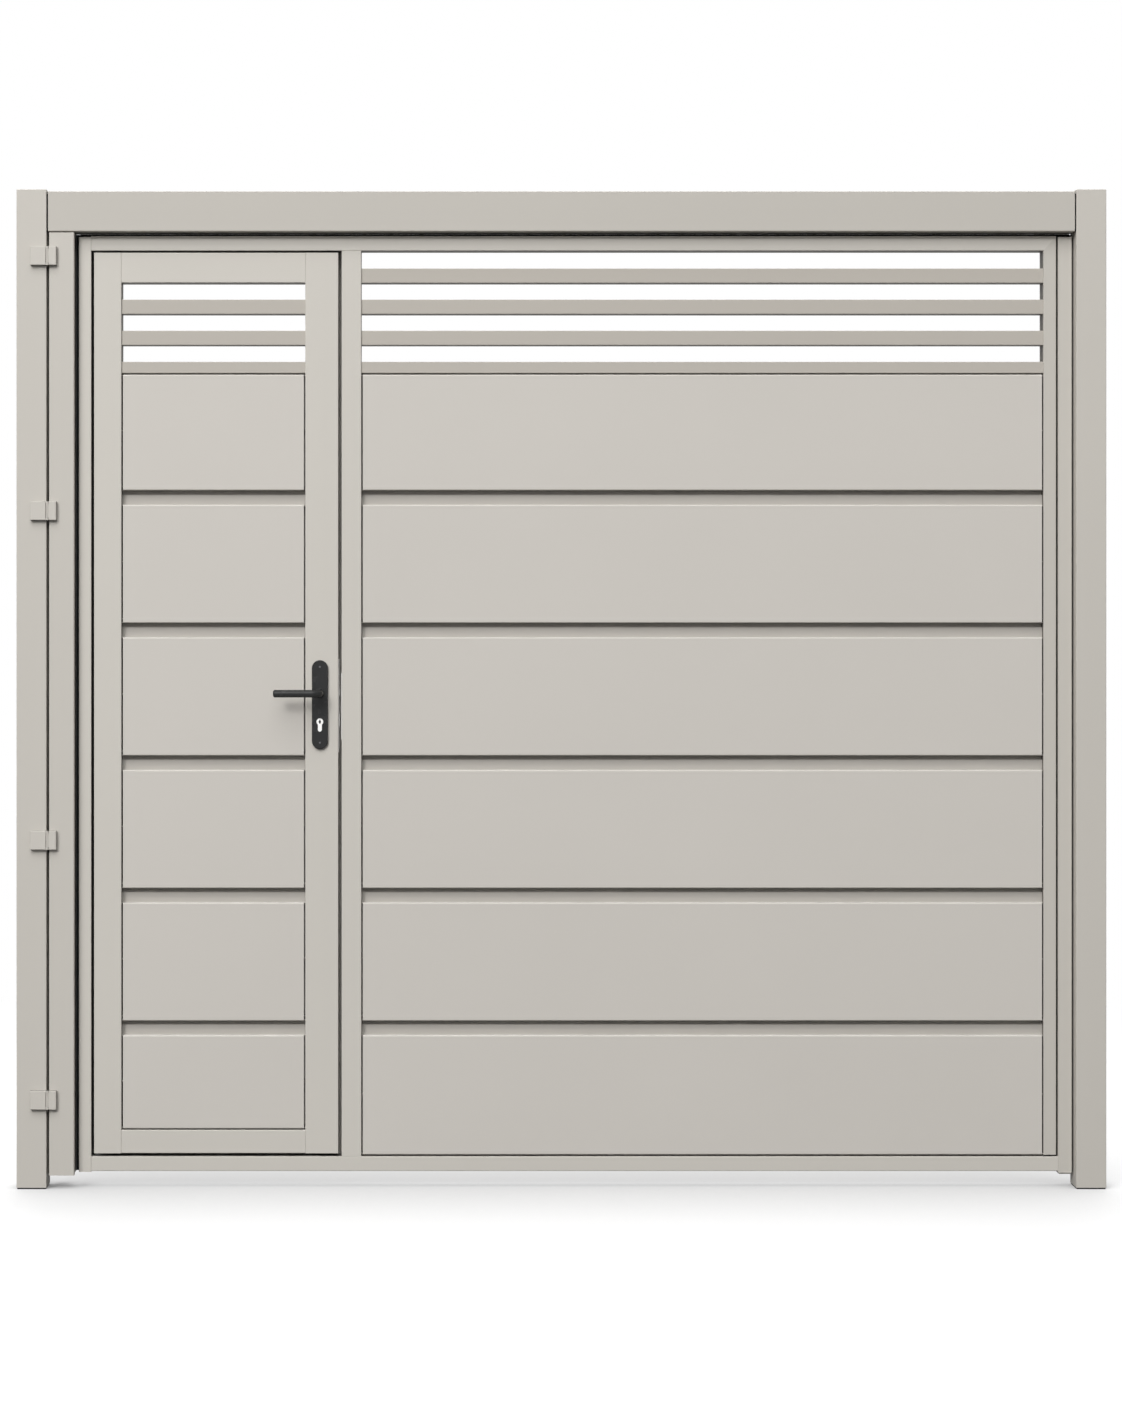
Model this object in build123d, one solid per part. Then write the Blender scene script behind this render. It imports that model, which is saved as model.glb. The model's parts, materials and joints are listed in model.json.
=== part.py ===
from build123d import *
import os

# Up-and-over garden gate with a wicket door, closed.
# Millimetres. X to the right seen from outside, Y towards the inside, Z up.
# The origin is the centre of the left post's foot.

# Portal
OVERALL_WIDTH = 2725.0
OVERALL_HEIGHT = 2500.0
POST_SIZE = 75.0
POST_WALL = 3.0
CAP_THICKNESS = 5.0
CAP_BEVEL = 1.2
FOOT_THICKNESS = 3.5
FOOT_INSET = 1.5
BEAM_HEIGHT = 100.0
BEAM_JOINT = 4.0
PROFILE_RADIUS = 2.0

# Side duct with its hinged cover, between the left post and the leaf
COVER_GAP = 6.5
COVER_WIDTH = 62.4
COVER_THICKNESS = 20.0
COVER_SKIN = 2.5
COVER_BOTTOM = 34.0
COVER_HEAD_GAP = 3.0
DUCT_WALL = 3.0
DUCT_SETBACK = 5.0
DUCT_INSET = 2.4
HINGE_FROM_FOOT = 190.0
HINGE_FROM_TOP = 59.0
HINGE_HEIGHT = 47.0
HINGE_PLATE_LEFT = 39.5
HINGE_TAB_RIGHT = 20.0
HINGE_THICKNESS = 12.0
HINGE_KNUCKLE = 3.2
HINGE_KNUCKLE_GAP = 0.5
HINGE_EAR = 6.0
HINGE_PIN_RADIUS = 1.6
HINGE_BEVEL = 1.0
HINGE_ROUND = 3.5

# Leaf
LEAF_RECESS = 30.0
LEAF_DEPTH = 50.0
LEAF_WALL = 2.5
LEAF_SIDE_GAP_LEFT = 8.6
LEAF_SIDE_GAP_RIGHT = 5.0
LEAF_HEAD_GAP = 8.5
LEAF_GROUND_GAP = 39.5
LEFT_STILE = 31.3
RIGHT_STILE = 35.0
TOP_RAIL = 36.9
BOTTOM_RAIL = 36.7
MULLION = 49.7
LEFT_SHOE = 2.0
RIGHT_SHOE = 8.0
SHOE_RADIUS = 6.0
STILE_DROP = 2.5
STILE_CAP = 3.0
RAIL_LIP = 4.0
RAIL_GROOVE = 3.0
RAIL_GROOVE_DEPTH = 2.1
EDGE_STILE = 32.0
EDGE_GAP = 4.4
EDGE_SEAL_SETBACK = 14.0
HINGE_SEAL_SETBACK = 28.0
SEAL_CLEAR = 4.0
SEAL_FIT = 0.6

# Louvres and planks, shared by the fixed infill and the wicket
SLAT_HEIGHT = 36.3
SLAT_PITCH = 78.1
SLAT_RECESS = 5.0
SLAT_DEPTH = 42.0
SLAT_WALL = 2.0
FIRST_SLOT = 44.1
SILL_SLAT = 28.4
JOINT_LINE = 4.2
PLANK_COUNT = 6
PLANK_RECESS = 1.0
PLANK_THICKNESS = 38.0
PLANK_GROOVE = 36.5
PLANK_GROOVE_DEPTH = 18.0
PLANK_SLOT = 10.5
PLANK_SLOT_DEPTH = 27.0
PLANK_KEY = 5.0
PLANK_KEY_LENGTH = 9.0
PLANK_TRIM = 6.1
PLANK_START = 7.3
PLANK_END_GAP = 3.6
PLANK_END_DEPTH = 9.0
PLANK_FIT = 0.4
PLANK_RADIUS = 3.0
PLANK_WALL = 2.0

# Wicket door
WICKET_WIDTH = 613.4
WICKET_HINGE_GAP = 6.8
WICKET_LOCK_GAP = 8.0
WICKET_HEAD_GAP = 5.0
WICKET_SILL_GAP = 8.1
HINGE_STILE = 69.0
LOCK_STILE = 83.1
WICKET_BOTTOM_RAIL = 58.4
WICKET_FOOT_LINE = 3.2
BEAD_OVERLAP = 10.0
BEAD_FOOT = 15.0
BEAD_HINGE_CLEAR = 12.0
BEAD_JOINT = 0.5
BEAD_THICKNESS = 4.0
BEAD_STANDOFF = 5.0
BUTT_HEIGHT = 90.0
BUTT_FROM_FOOT = 260.0
BUTT_FROM_TOP = 200.0
BUTT_PLATE = 3.0
BUTT_WING = 36.0
PLATE_CORNER = 4.0
BUTT_RADIUS = 5.5
BUTT_PIN_RADIUS = 3.0

# Lever handle and lock
LEVER_HEIGHT = 1239.5
LEVER_BACKSET = 46.2
LEVER_RADIUS = 9.5
LEVER_LENGTH = 115.0
LEVER_REACH = 46.0
CYLINDER_DROP = 72.0
PLATE_WIDTH = 40.2
PLATE_HEIGHT = 223.0
PLATE_THICKNESS = 8.0
PLATE_ABOVE = 82.5
PLATE_BEVEL = 1.6
FACEPLATE_HEIGHT = 235.0
FACEPLATE_BELOW = 150.0
FACEPLATE_WIDTH = 22.0
FACEPLATE_THICKNESS = 1.5
STRIKE_HEIGHT = 170.0
STRIKE_BELOW = 120.0
STRIKE_WIDTH = 24.0
BOLT_WIDTH = 12.0
BOLT_OUT = 2.5
LEVER_BEND = 18.0
LEVER_TIP = 3.0
SPINDLE_SIDE = 8.0
CYLINDER_RADIUS = 8.5
CYLINDER_WEB = 5.0
CYLINDER_OUT = 2.0
CYLINDER_HEIGHT = 33.0
KEYWAY_WIDTH = 2.4
KEYWAY_HEIGHT = 9.5
KEYWAY_DEPTH = 6.0

# Lifting gear behind the posts
GEAR_OFFSET = 12.5
ROLLER_ABOVE_LEAF_FOOT = 780.0
PIVOT_BELOW_LEAF_TOP = 41.5
ARM_WIDTH = 24.0
ARM_THICKNESS = 8.0
ARM_GAP = 12.0
PIVOT_RADIUS = 7.0
HEAD_RADIUS = 10.0
HEAD_THICKNESS = 3.5
TRACK_DEPTH = 35.0
TRACK_WALL = 3.0
TRACK_GAP = 5.0
ROLLER_RADIUS = 14.0
ROLLER_WIDTH = 16.0
SPINDLE_RADIUS = 6.0
RUNNING_FIT = 0.05
SIDE_PLAY = 0.3
BRACKET_PLATE = 4.0
BRACKET_HEIGHT = 90.0
BRACKET_WIDTH = 42.0
BRACKET_BOSS = 20.0
BRACKET_RADIUS = 16.0
BRACKET_CLEAR = 5.0
STILE_BRACKET_WIDTH = 26.0
STILE_BRACKET_RADIUS = 12.0
STILE_BRACKET_INSET = 2.0
TRACK_BELOW_PIVOT = 70.0
ROLLER_BEVEL = 1.5

# Positions that follow from the sizes
POST_FRONT = -POST_SIZE / 2
POST_BACK = POST_SIZE / 2
RIGHT_POST_X = OVERALL_WIDTH - POST_SIZE
LEFT_INNER = POST_SIZE / 2
RIGHT_INNER = RIGHT_POST_X - POST_SIZE / 2
POST_TOP = OVERALL_HEIGHT - CAP_THICKNESS
BEAM_BOTTOM = POST_TOP - BEAM_HEIGHT
COVER_LEFT = LEFT_INNER + COVER_GAP
COVER_RIGHT = COVER_LEFT + COVER_WIDTH
COVER_BACK = POST_FRONT + COVER_THICKNESS
COVER_TOP = BEAM_BOTTOM - COVER_HEAD_GAP
DUCT_FRONT = COVER_BACK + DUCT_SETBACK
DUCT_RIGHT = COVER_RIGHT - DUCT_INSET

LEAF_LEFT = COVER_RIGHT + LEAF_SIDE_GAP_LEFT
LEAF_RIGHT = RIGHT_INNER - LEAF_SIDE_GAP_RIGHT
LEAF_FRONT = POST_FRONT + LEAF_RECESS
LEAF_BACK = LEAF_FRONT + LEAF_DEPTH
LEAF_TOP = BEAM_BOTTOM - LEAF_HEAD_GAP
LEAF_FOOT = LEAF_GROUND_GAP
DOORWAY_LEFT = LEAF_LEFT + LEFT_STILE
HEAD = LEAF_TOP - TOP_RAIL
SILL = LEAF_FOOT + BOTTOM_RAIL
WICKET_LEFT = DOORWAY_LEFT + WICKET_HINGE_GAP
WICKET_RIGHT = WICKET_LEFT + WICKET_WIDTH
WICKET_TOP = HEAD - WICKET_HEAD_GAP
WICKET_FOOT = SILL + WICKET_SILL_GAP
MULLION_LEFT = WICKET_RIGHT + WICKET_LOCK_GAP
MAIN_LEFT = MULLION_LEFT + MULLION
MAIN_RIGHT = LEAF_RIGHT - RIGHT_STILE
EDGE_RIGHT = MAIN_RIGHT - EDGE_GAP
EDGE_LEFT = EDGE_RIGHT - EDGE_STILE
PANEL_LEFT = WICKET_LEFT + HINGE_STILE
PANEL_RIGHT = WICKET_RIGHT - LOCK_STILE
WICKET_SILL = WICKET_FOOT + WICKET_BOTTOM_RAIL

SLAT_TOPS = [HEAD - FIRST_SLOT - SLAT_PITCH * k for k in range(4)]
WICKET_HEAD = SLAT_TOPS[0] - SLAT_HEIGHT
SILL_SLAT_BOTTOM = SLAT_TOPS[3] - SILL_SLAT
PLANK_TOP = SILL_SLAT_BOTTOM - JOINT_LINE
PLANK_BASE = SILL + PLANK_START
PLANK_PITCH = (PLANK_TOP + PLANK_GROOVE + PLANK_TRIM - PLANK_BASE) / PLANK_COUNT
PLANK_FRONT = LEAF_FRONT + PLANK_RECESS
PLANK_BACK = PLANK_FRONT + PLANK_THICKNESS

GEAR_Y = LEAF_BACK + GEAR_OFFSET
ROLLER_Z = LEAF_FOOT + ROLLER_ABOVE_LEAF_FOOT
PIVOT_Z = LEAF_TOP - PIVOT_BELOW_LEAF_TOP
ARM_LENGTH = (PIVOT_Z - ROLLER_Z) / 2
KNEE_Z = ROLLER_Z + ARM_LENGTH
LEAF_CENTRE_X = (LEAF_LEFT + LEAF_RIGHT) / 2
BUTT_X = (DOORWAY_LEFT + WICKET_LEFT) / 2
BUTT_Y = LEAF_BACK + BUTT_RADIUS + 0.5
COVER_AXIS_X = (LEFT_INNER + COVER_LEFT) / 2
COVER_AXIS_Y = POST_FRONT - HINGE_THICKNESS + HINGE_KNUCKLE
LEVER_X = WICKET_RIGHT - LEVER_BACKSET
CYLINDER_Z = LEVER_HEIGHT - CYLINDER_DROP


def block(x0, x1, y0, y1, z0, z1):
    """A box between two corners."""
    return Pos((x0 + x1) / 2, (y0 + y1) / 2, (z0 + z1) / 2) * Box(x1 - x0, y1 - y0, z1 - z0)


def bar(x0, x1, y0, y1, z0, z1, along, radius=PROFILE_RADIUS):
    """A box whose long edges are rounded."""
    body = block(x0, x1, y0, y1, z0, z1)
    return fillet(body.edges().filter_by(along), radius)


def tube(x0, x1, y0, y1, z0, z1, along, wall, radius=PROFILE_RADIUS):
    """A rectangular extrusion, open at both ends."""
    dx = 0 if along == Axis.X else wall
    dz = 0 if along == Axis.Z else wall
    core = block(x0 + dx, x1 - dx, y0 + wall, y1 - wall, z0 + dz, z1 - dz)
    return bar(x0, x1, y0, y1, z0, z1, along, radius) - core


def rod_x(x0, x1, y, z, radius):
    """A round bar along X."""
    return Pos((x0 + x1) / 2, y, z) * Rot(0, 90, 0) * Cylinder(radius, abs(x1 - x0))


def rod_y(x, y0, y1, z, radius):
    """A round bar along Y."""
    return Pos(x, (y0 + y1) / 2, z) * Rot(90, 0, 0) * Cylinder(radius, abs(y1 - y0))


def rod_z(x, y, z0, z1, radius):
    """A round bar along Z."""
    return Pos(x, y, (z0 + z1) / 2) * Cylinder(radius, abs(z1 - z0))


def mirrored(shape):
    """The same piece on the other side of the leaf."""
    return mirror(shape, about=Plane.YZ.offset(LEAF_CENTRE_X))


def pair(shape):
    """A left piece together with its right-hand twin."""
    return Compound([shape, mirrored(shape)])


# Portal: posts, feet, caps and beam
def post(x):
    half = POST_SIZE / 2
    return tube(x - half, x + half, -half, half, FOOT_THICKNESS, POST_TOP, Axis.Z, POST_WALL)


def post_foot(x):
    half = POST_SIZE / 2 - FOOT_INSET
    return bar(x - half, x + half, -half, half, 0, FOOT_THICKNESS, Axis.Z)


def post_cap(x):
    half = POST_SIZE / 2
    cap = bar(x - half, x + half, -half, half, POST_TOP, OVERALL_HEIGHT, Axis.Z)
    return chamfer(cap.faces().sort_by(Axis.Z)[-1].edges(), CAP_BEVEL)


def top_beam():
    return tube(LEFT_INNER + BEAM_JOINT, RIGHT_INNER - BEAM_JOINT, POST_FRONT, POST_BACK,
                BEAM_BOTTOM, POST_TOP, Axis.X, POST_WALL)


def beam_end_plates():
    plates = []
    for x0 in (LEFT_INNER, RIGHT_INNER - BEAM_JOINT):
        plates.append(block(x0, x0 + BEAM_JOINT, POST_FRONT + 5, POST_BACK - 5,
                            BEAM_BOTTOM + 1.5, POST_TOP - 5))
    return Compound(plates)


# Side duct and its cover
def side_duct():
    body = block(LEFT_INNER, DUCT_RIGHT, DUCT_FRONT, POST_BACK, COVER_BOTTOM, BEAM_BOTTOM)
    inside = block(LEFT_INNER + DUCT_WALL, DUCT_RIGHT - DUCT_WALL, DUCT_FRONT - 1,
                   POST_BACK - DUCT_WALL, COVER_BOTTOM - 1, BEAM_BOTTOM + 1)
    return body - inside


def duct_cover():
    body = bar(COVER_LEFT, COVER_RIGHT, POST_FRONT, COVER_BACK, COVER_BOTTOM, COVER_TOP, Axis.Z)
    pocket = block(COVER_LEFT + COVER_SKIN, COVER_RIGHT - COVER_SKIN, POST_FRONT + COVER_SKIN,
                   COVER_BACK + 1, COVER_BOTTOM + COVER_SKIN, COVER_TOP - COVER_SKIN)
    return body - pocket


def cover_hinge_levels():
    low = COVER_BOTTOM + HINGE_FROM_FOOT
    high = COVER_TOP - HINGE_FROM_TOP
    return [low + (high - low) * part for part in (0, 0.3077, 0.698, 1)]


def cover_hinge_plate(z):
    """Block on the post with two knuckles at its front edge, and the pin in them."""
    z0 = z - HINGE_HEIGHT / 2
    z1 = z + HINGE_HEIGHT / 2
    front = POST_FRONT - HINGE_THICKNESS
    right = COVER_AXIS_X - HINGE_KNUCKLE - HINGE_KNUCKLE_GAP
    plate = block(LEFT_INNER - HINGE_PLATE_LEFT, right, front, POST_FRONT, z0, z1)
    plate = chamfer(plate.faces().sort_by(Axis.Y)[0].edges(), HINGE_BEVEL)
    hinge = plate + rod_z(COVER_AXIS_X, COVER_AXIS_Y, z0, z1, HINGE_PIN_RADIUS)
    for low in (z0, z1 - HINGE_EAR):
        hinge += rod_z(COVER_AXIS_X, COVER_AXIS_Y, low, low + HINGE_EAR, HINGE_KNUCKLE)
        hinge += block(right - HINGE_KNUCKLE, COVER_AXIS_X, front + HINGE_BEVEL, COVER_AXIS_Y + HINGE_KNUCKLE,
                       low, low + HINGE_EAR)
    return hinge


def cover_hinge_barrel(z):
    """Block on the cover with the middle knuckle round the pin."""
    half = HINGE_HEIGHT / 2 - HINGE_EAR - SIDE_PLAY
    front = POST_FRONT - HINGE_THICKNESS
    left = COVER_AXIS_X + HINGE_KNUCKLE + HINGE_KNUCKLE_GAP
    tall = HINGE_HEIGHT / 2
    tab = block(left, COVER_LEFT + HINGE_TAB_RIGHT, front, POST_FRONT, z - tall, z + tall)
    tab = fillet(tab.edges().filter_by(Axis.Z).sort_by(Axis.X)[-2:].sort_by(Axis.Y)[:1], HINGE_ROUND)
    tab = chamfer(tab.edges().filter_by(Axis.X).sort_by(Axis.Y)[:2], HINGE_BEVEL)
    tab += rod_z(COVER_AXIS_X, COVER_AXIS_Y, z - half, z + half, HINGE_KNUCKLE)
    tab += block(COVER_AXIS_X, left + HINGE_KNUCKLE, front + HINGE_BEVEL, COVER_AXIS_Y + HINGE_KNUCKLE,
                 z - half, z + half)
    return tab - rod_z(COVER_AXIS_X, COVER_AXIS_Y, z - half - 1, z + half + 1, HINGE_PIN_RADIUS + RUNNING_FIT)


# Leaf frame
def leaf_stile(x0, x1):
    top = LEAF_TOP - STILE_DROP - STILE_CAP
    return tube(x0, x1, LEAF_FRONT, LEAF_BACK, LEAF_FOOT, top, Axis.Z, LEAF_WALL)


def leaf_end_caps():
    """Caps on the stiles' tops and shoes under them; the right shoe is the deeper one."""
    caps = []
    top = LEAF_TOP - STILE_DROP
    for x0, x1, shoe in ((LEAF_LEFT, DOORWAY_LEFT, LEFT_SHOE), (MAIN_RIGHT, LEAF_RIGHT, RIGHT_SHOE)):
        caps.append(bar(x0, x1, LEAF_FRONT, LEAF_BACK, top - STILE_CAP, top, Axis.Z))
        caps.append(bar(x0, x1, LEAF_FRONT, LEAF_BACK, LEAF_FOOT - shoe, LEAF_FOOT, Axis.Z))
    corner = caps[-1].faces().sort_by(Axis.Z)[0].edges().filter_by(Axis.Y).sort_by(Axis.X)[0]
    caps[-1] = fillet(corner, SHOE_RADIUS)
    return Compound(caps)


def corner_wedge(above):
    """Half of the mitred corner where the top rail meets the edge stile."""
    corner = [(EDGE_LEFT, HEAD), (EDGE_RIGHT, LEAF_TOP)]
    far = (EDGE_LEFT - 60, LEAF_TOP + 60) if above else (EDGE_RIGHT + 60, HEAD - 60)
    slope = (LEAF_TOP - HEAD) / EDGE_STILE
    start = (EDGE_LEFT - 40, HEAD - 40 * slope)
    end = (EDGE_RIGHT + 40, LEAF_TOP + 40 * slope)
    outline = make_face(Polyline(start, corner[0], corner[1], end, far, close=True))
    return extrude(Plane.XZ.offset(-LEAF_BACK - 5) * outline, amount=LEAF_DEPTH + 10)


def leaf_top_rail():
    rail = tube(DOORWAY_LEFT, EDGE_RIGHT, LEAF_FRONT, LEAF_BACK, HEAD, LEAF_TOP, Axis.X, LEAF_WALL)
    groove = block(DOORWAY_LEFT - 1, EDGE_RIGHT + 1, LEAF_FRONT - 1, LEAF_FRONT + RAIL_GROOVE_DEPTH,
                   LEAF_TOP - RAIL_LIP - RAIL_GROOVE, LEAF_TOP - RAIL_LIP)
    return rail - groove - corner_wedge(False)


def main_edge_stile():
    stile = tube(EDGE_LEFT, EDGE_RIGHT, LEAF_FRONT, LEAF_BACK, SILL, LEAF_TOP, Axis.Z, LEAF_WALL)
    stile -= corner_wedge(True)
    stile -= block(EDGE_LEFT - 1, EDGE_RIGHT + 1, LEAF_FRONT - 1, LEAF_FRONT + PLANK_GROOVE_DEPTH,
                   SILL - 1, SILL + EDGE_GAP)
    return stile


def main_panel_gasket():
    """Dark strip that closes the shadow gap beside the infill."""
    return block(EDGE_RIGHT, MAIN_RIGHT, LEAF_FRONT + EDGE_SEAL_SETBACK, LEAF_BACK - SEAL_CLEAR, SILL,
                 LEAF_TOP - SEAL_CLEAR)


def leaf_bottom_rail():
    return tube(DOORWAY_LEFT, MAIN_RIGHT, LEAF_FRONT, LEAF_BACK, LEAF_FOOT, SILL, Axis.X, LEAF_WALL)


def leaf_mullion():
    return tube(MULLION_LEFT, MAIN_LEFT, LEAF_FRONT, LEAF_BACK, SILL, HEAD, Axis.Z, LEAF_WALL)


# Louvres and interlocking planks
def slat(x0, x1, top, height):
    y0 = LEAF_FRONT + SLAT_RECESS
    return tube(x0, x1, y0, y0 + SLAT_DEPTH, top - height, top, Axis.X, SLAT_WALL, 1.5)


def louvre_slats(x0, x1, first):
    slats = [slat(x0, x1, top, SLAT_HEIGHT) for top in SLAT_TOPS[first:3]]
    slats.append(slat(x0, x1, SLAT_TOPS[3], SILL_SLAT))
    return Compound(slats)


def plank(x0, x1, face0, face1, rear0, rear1, socket, tongue):
    """One plank: its face between two levels, the groove's floor above, and a tongue behind a deep slot."""
    front = PLANK_FRONT
    step = front + PLANK_GROOVE_DEPTH
    slot = front + PLANK_SLOT_DEPTH
    shelf = rear1 - PLANK_SLOT
    key0 = slot + PLANK_WALL
    key1 = key0 + PLANK_KEY
    depth = PLANK_KEY_LENGTH + 1
    outline = [(front, face0)]
    if rear0 < face0:
        outline += [(step, face0), (step, rear0)]
    if socket:
        outline += [(key0 - PLANK_FIT, rear0), (key0 - PLANK_FIT, rear0 + depth),
                    (key1 + PLANK_FIT, rear0 + depth), (key1 + PLANK_FIT, rear0)]
    outline += [(PLANK_BACK, rear0), (PLANK_BACK, rear1)]
    if tongue:
        outline += [(key1, rear1), (key1, rear1 + PLANK_KEY_LENGTH), (key0, rear1 + PLANK_KEY_LENGTH),
                    (key0, rear1), (slot, rear1), (slot, shelf), (step, shelf)]
    else:
        outline += [(step, rear1)]
    outline += [(step, face1), (front, face1)]
    section = make_face(Polyline(*outline, close=True))
    noses = section.vertices().filter_by(lambda v: abs(v.X - front) < 0.01)
    section = fillet(noses, PLANK_RADIUS)
    body = extrude(Plane.YZ.offset(x0) * section, amount=x1 - x0)
    floor = rear0 + depth + PLANK_WALL if socket else face0 + PLANK_WALL
    middle = (floor + face1) / 2
    cells = [(front, floor, middle - PLANK_WALL / 2), (front, middle + PLANK_WALL / 2, face1 - PLANK_WALL)]
    if tongue:
        cells.append((step, face1, shelf - PLANK_WALL))
    for skin, z0, z1 in cells:
        body -= block(x0 - 1, x1 + 1, skin + PLANK_WALL, PLANK_BACK - PLANK_WALL, z0, z1)
    if socket:
        body -= block(x0 - 1, x1 + 1, front + PLANK_RADIUS, key0 - PLANK_FIT - PLANK_WALL,
                      rear0 + PLANK_WALL, rear0 + depth)
    for end0 in (x0 - 1, x1 - PLANK_END_GAP):
        body -= block(end0, end0 + PLANK_END_GAP + 1, front - 1, front + PLANK_END_DEPTH,
                      face0 - 1, face1 + 1)
    return body


def planks(x0, x1, foot, foot_line):
    """The six planks of one bay, from the rail below up to the louvres."""
    boards = []
    for row in range(PLANK_COUNT):
        top = PLANK_BASE + PLANK_PITCH * (row + 1)
        face0 = PLANK_BASE + PLANK_PITCH * row
        face1 = top - PLANK_GROOVE
        rear0 = face0
        rear1 = top - PLANK_FIT
        if row == 0:
            face0 = foot + foot_line
            rear0 = foot
        if row == PLANK_COUNT - 1:
            face1 = PLANK_TOP
            rear1 = SILL_SLAT_BOTTOM
        boards.append(plank(x0, x1, face0, face1, rear0, rear1, row > 0, row < PLANK_COUNT - 1))
    return Compound(boards)


# Wicket door
def euro_outline(y0, y1, margin):
    """Keyhole-shaped body of the lock cylinder."""
    web = CYLINDER_WEB + margin
    foot = CYLINDER_Z + CYLINDER_RADIUS + CYLINDER_WEB - CYLINDER_HEIGHT
    shape = rod_y(LEVER_X, y0, y1, CYLINDER_Z, CYLINDER_RADIUS + margin)
    shape += block(LEVER_X - web, LEVER_X + web, y0, y1, foot, CYLINDER_Z)
    return shape + rod_y(LEVER_X, y0, y1, foot, web)


def wicket_stile(x0, x1):
    return tube(x0, x1, LEAF_FRONT, LEAF_BACK, WICKET_FOOT, WICKET_TOP, Axis.Z, LEAF_WALL)


def wicket_lock_stile():
    stile = wicket_stile(PANEL_RIGHT, WICKET_RIGHT)
    stile -= rod_y(LEVER_X, LEAF_FRONT - 1, LEAF_BACK + 1, LEVER_HEIGHT, LEVER_RADIUS - 1)
    return stile - euro_outline(LEAF_FRONT - 1, LEAF_BACK + 1, 0.4)


def wicket_rail(z0, z1):
    return tube(PANEL_LEFT, PANEL_RIGHT, LEAF_FRONT, LEAF_BACK, z0, z1, Axis.X, LEAF_WALL)


def wicket_stop_beads():
    """Strips on the door's back that lap over the leaf frame."""
    left = WICKET_LEFT + BEAD_HINGE_CLEAR
    right = MULLION_LEFT + BEAD_OVERLAP
    y0 = LEAF_BACK + BEAD_STANDOFF
    y1 = y0 + BEAD_THICKNESS
    inner = WICKET_RIGHT - BEAD_FOOT
    lock = block(inner, WICKET_RIGHT, LEAF_BACK, y0, WICKET_FOOT, WICKET_TOP)
    lock += block(inner, right, y0, y1, SILL - BEAD_OVERLAP, HEAD + BEAD_OVERLAP)
    beads = [lock]
    for edge, lap, side in ((WICKET_TOP, HEAD, 1), (WICKET_FOOT, SILL, -1)):
        z0, z1 = sorted((edge - BEAD_FOOT * side, edge))
        bead = block(left, inner - BEAD_JOINT, LEAF_BACK, y0, z0, z1)
        z0, z1 = sorted((edge - BEAD_FOOT * side, lap + BEAD_OVERLAP * side))
        beads.append(bead + block(left, inner - BEAD_JOINT, y0, y1, z0, z1))
    return Compound(beads)


def hinge_side_seal():
    return block(DOORWAY_LEFT, WICKET_LEFT - SEAL_FIT, LEAF_FRONT + HINGE_SEAL_SETBACK,
                 LEAF_BACK - SEAL_CLEAR, SILL, HEAD)


def butt_levels():
    return [WICKET_FOOT + BUTT_FROM_FOOT, (ROLLER_Z + KNEE_Z) / 2, WICKET_TOP - BUTT_FROM_TOP]


def butt_frame_half(z):
    """Frame half of a butt hinge, with the pin and the two outer knuckles."""
    z0 = z - BUTT_HEIGHT / 2
    z1 = z + BUTT_HEIGHT / 2
    third = BUTT_HEIGHT / 3
    half = bar(LEAF_LEFT + BUTT_PLATE, BUTT_X - 6, LEAF_BACK, LEAF_BACK + BUTT_PLATE, z0, z1, Axis.Y,
               PLATE_CORNER)
    half += rod_z(BUTT_X, BUTT_Y, z0, z1, BUTT_PIN_RADIUS)
    for low in (z0, z1 - third):
        half += rod_z(BUTT_X, BUTT_Y, low, low + third, BUTT_RADIUS)
        half += block(BUTT_X - 9, BUTT_X, LEAF_BACK, LEAF_BACK + BUTT_PLATE, low + PLATE_CORNER,
                      low + third - PLATE_CORNER)
    return half


def butt_door_half(z):
    third = BUTT_HEIGHT / 3 - 2 * SIDE_PLAY
    z0 = z - third / 2
    z1 = z + third / 2
    half = bar(WICKET_LEFT + 2.5, WICKET_LEFT + BUTT_WING, LEAF_BACK, LEAF_BACK + BUTT_PLATE,
               z - BUTT_HEIGHT / 2, z + BUTT_HEIGHT / 2, Axis.Y, PLATE_CORNER)
    half += rod_z(BUTT_X, BUTT_Y, z0, z1, BUTT_RADIUS)
    half += block(BUTT_X, WICKET_LEFT + 6, LEAF_BACK + 0.3, LEAF_BACK + BUTT_PLATE, z0, z1)
    return half - rod_z(BUTT_X, BUTT_Y, z0 - 1, z1 + 1, BUTT_PIN_RADIUS + RUNNING_FIT)


def lock_faceplate():
    mid = (LEAF_FRONT + LEAF_BACK) / 2
    z0 = LEVER_HEIGHT - FACEPLATE_BELOW
    half = FACEPLATE_WIDTH / 2
    plate = bar(WICKET_RIGHT, WICKET_RIGHT + FACEPLATE_THICKNESS, mid - half, mid + half, z0,
                z0 + FACEPLATE_HEIGHT, Axis.X, PLATE_CORNER)
    bolts = [(LEVER_HEIGHT - 8, LEVER_HEIGHT + 8), (CYLINDER_Z - 12, CYLINDER_Z + 18)]
    side = BOLT_WIDTH / 2
    for low, high in bolts:
        plate += block(WICKET_RIGHT, WICKET_RIGHT + BOLT_OUT, mid - side, mid + side, low, high)
    return plate


def strike_plate():
    mid = (LEAF_FRONT + LEAF_BACK) / 2
    z0 = LEVER_HEIGHT - STRIKE_BELOW
    half = STRIKE_WIDTH / 2
    return bar(MULLION_LEFT - FACEPLATE_THICKNESS, MULLION_LEFT, mid - half, mid + half, z0,
               z0 + STRIKE_HEIGHT, Axis.X, PLATE_CORNER)


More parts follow.
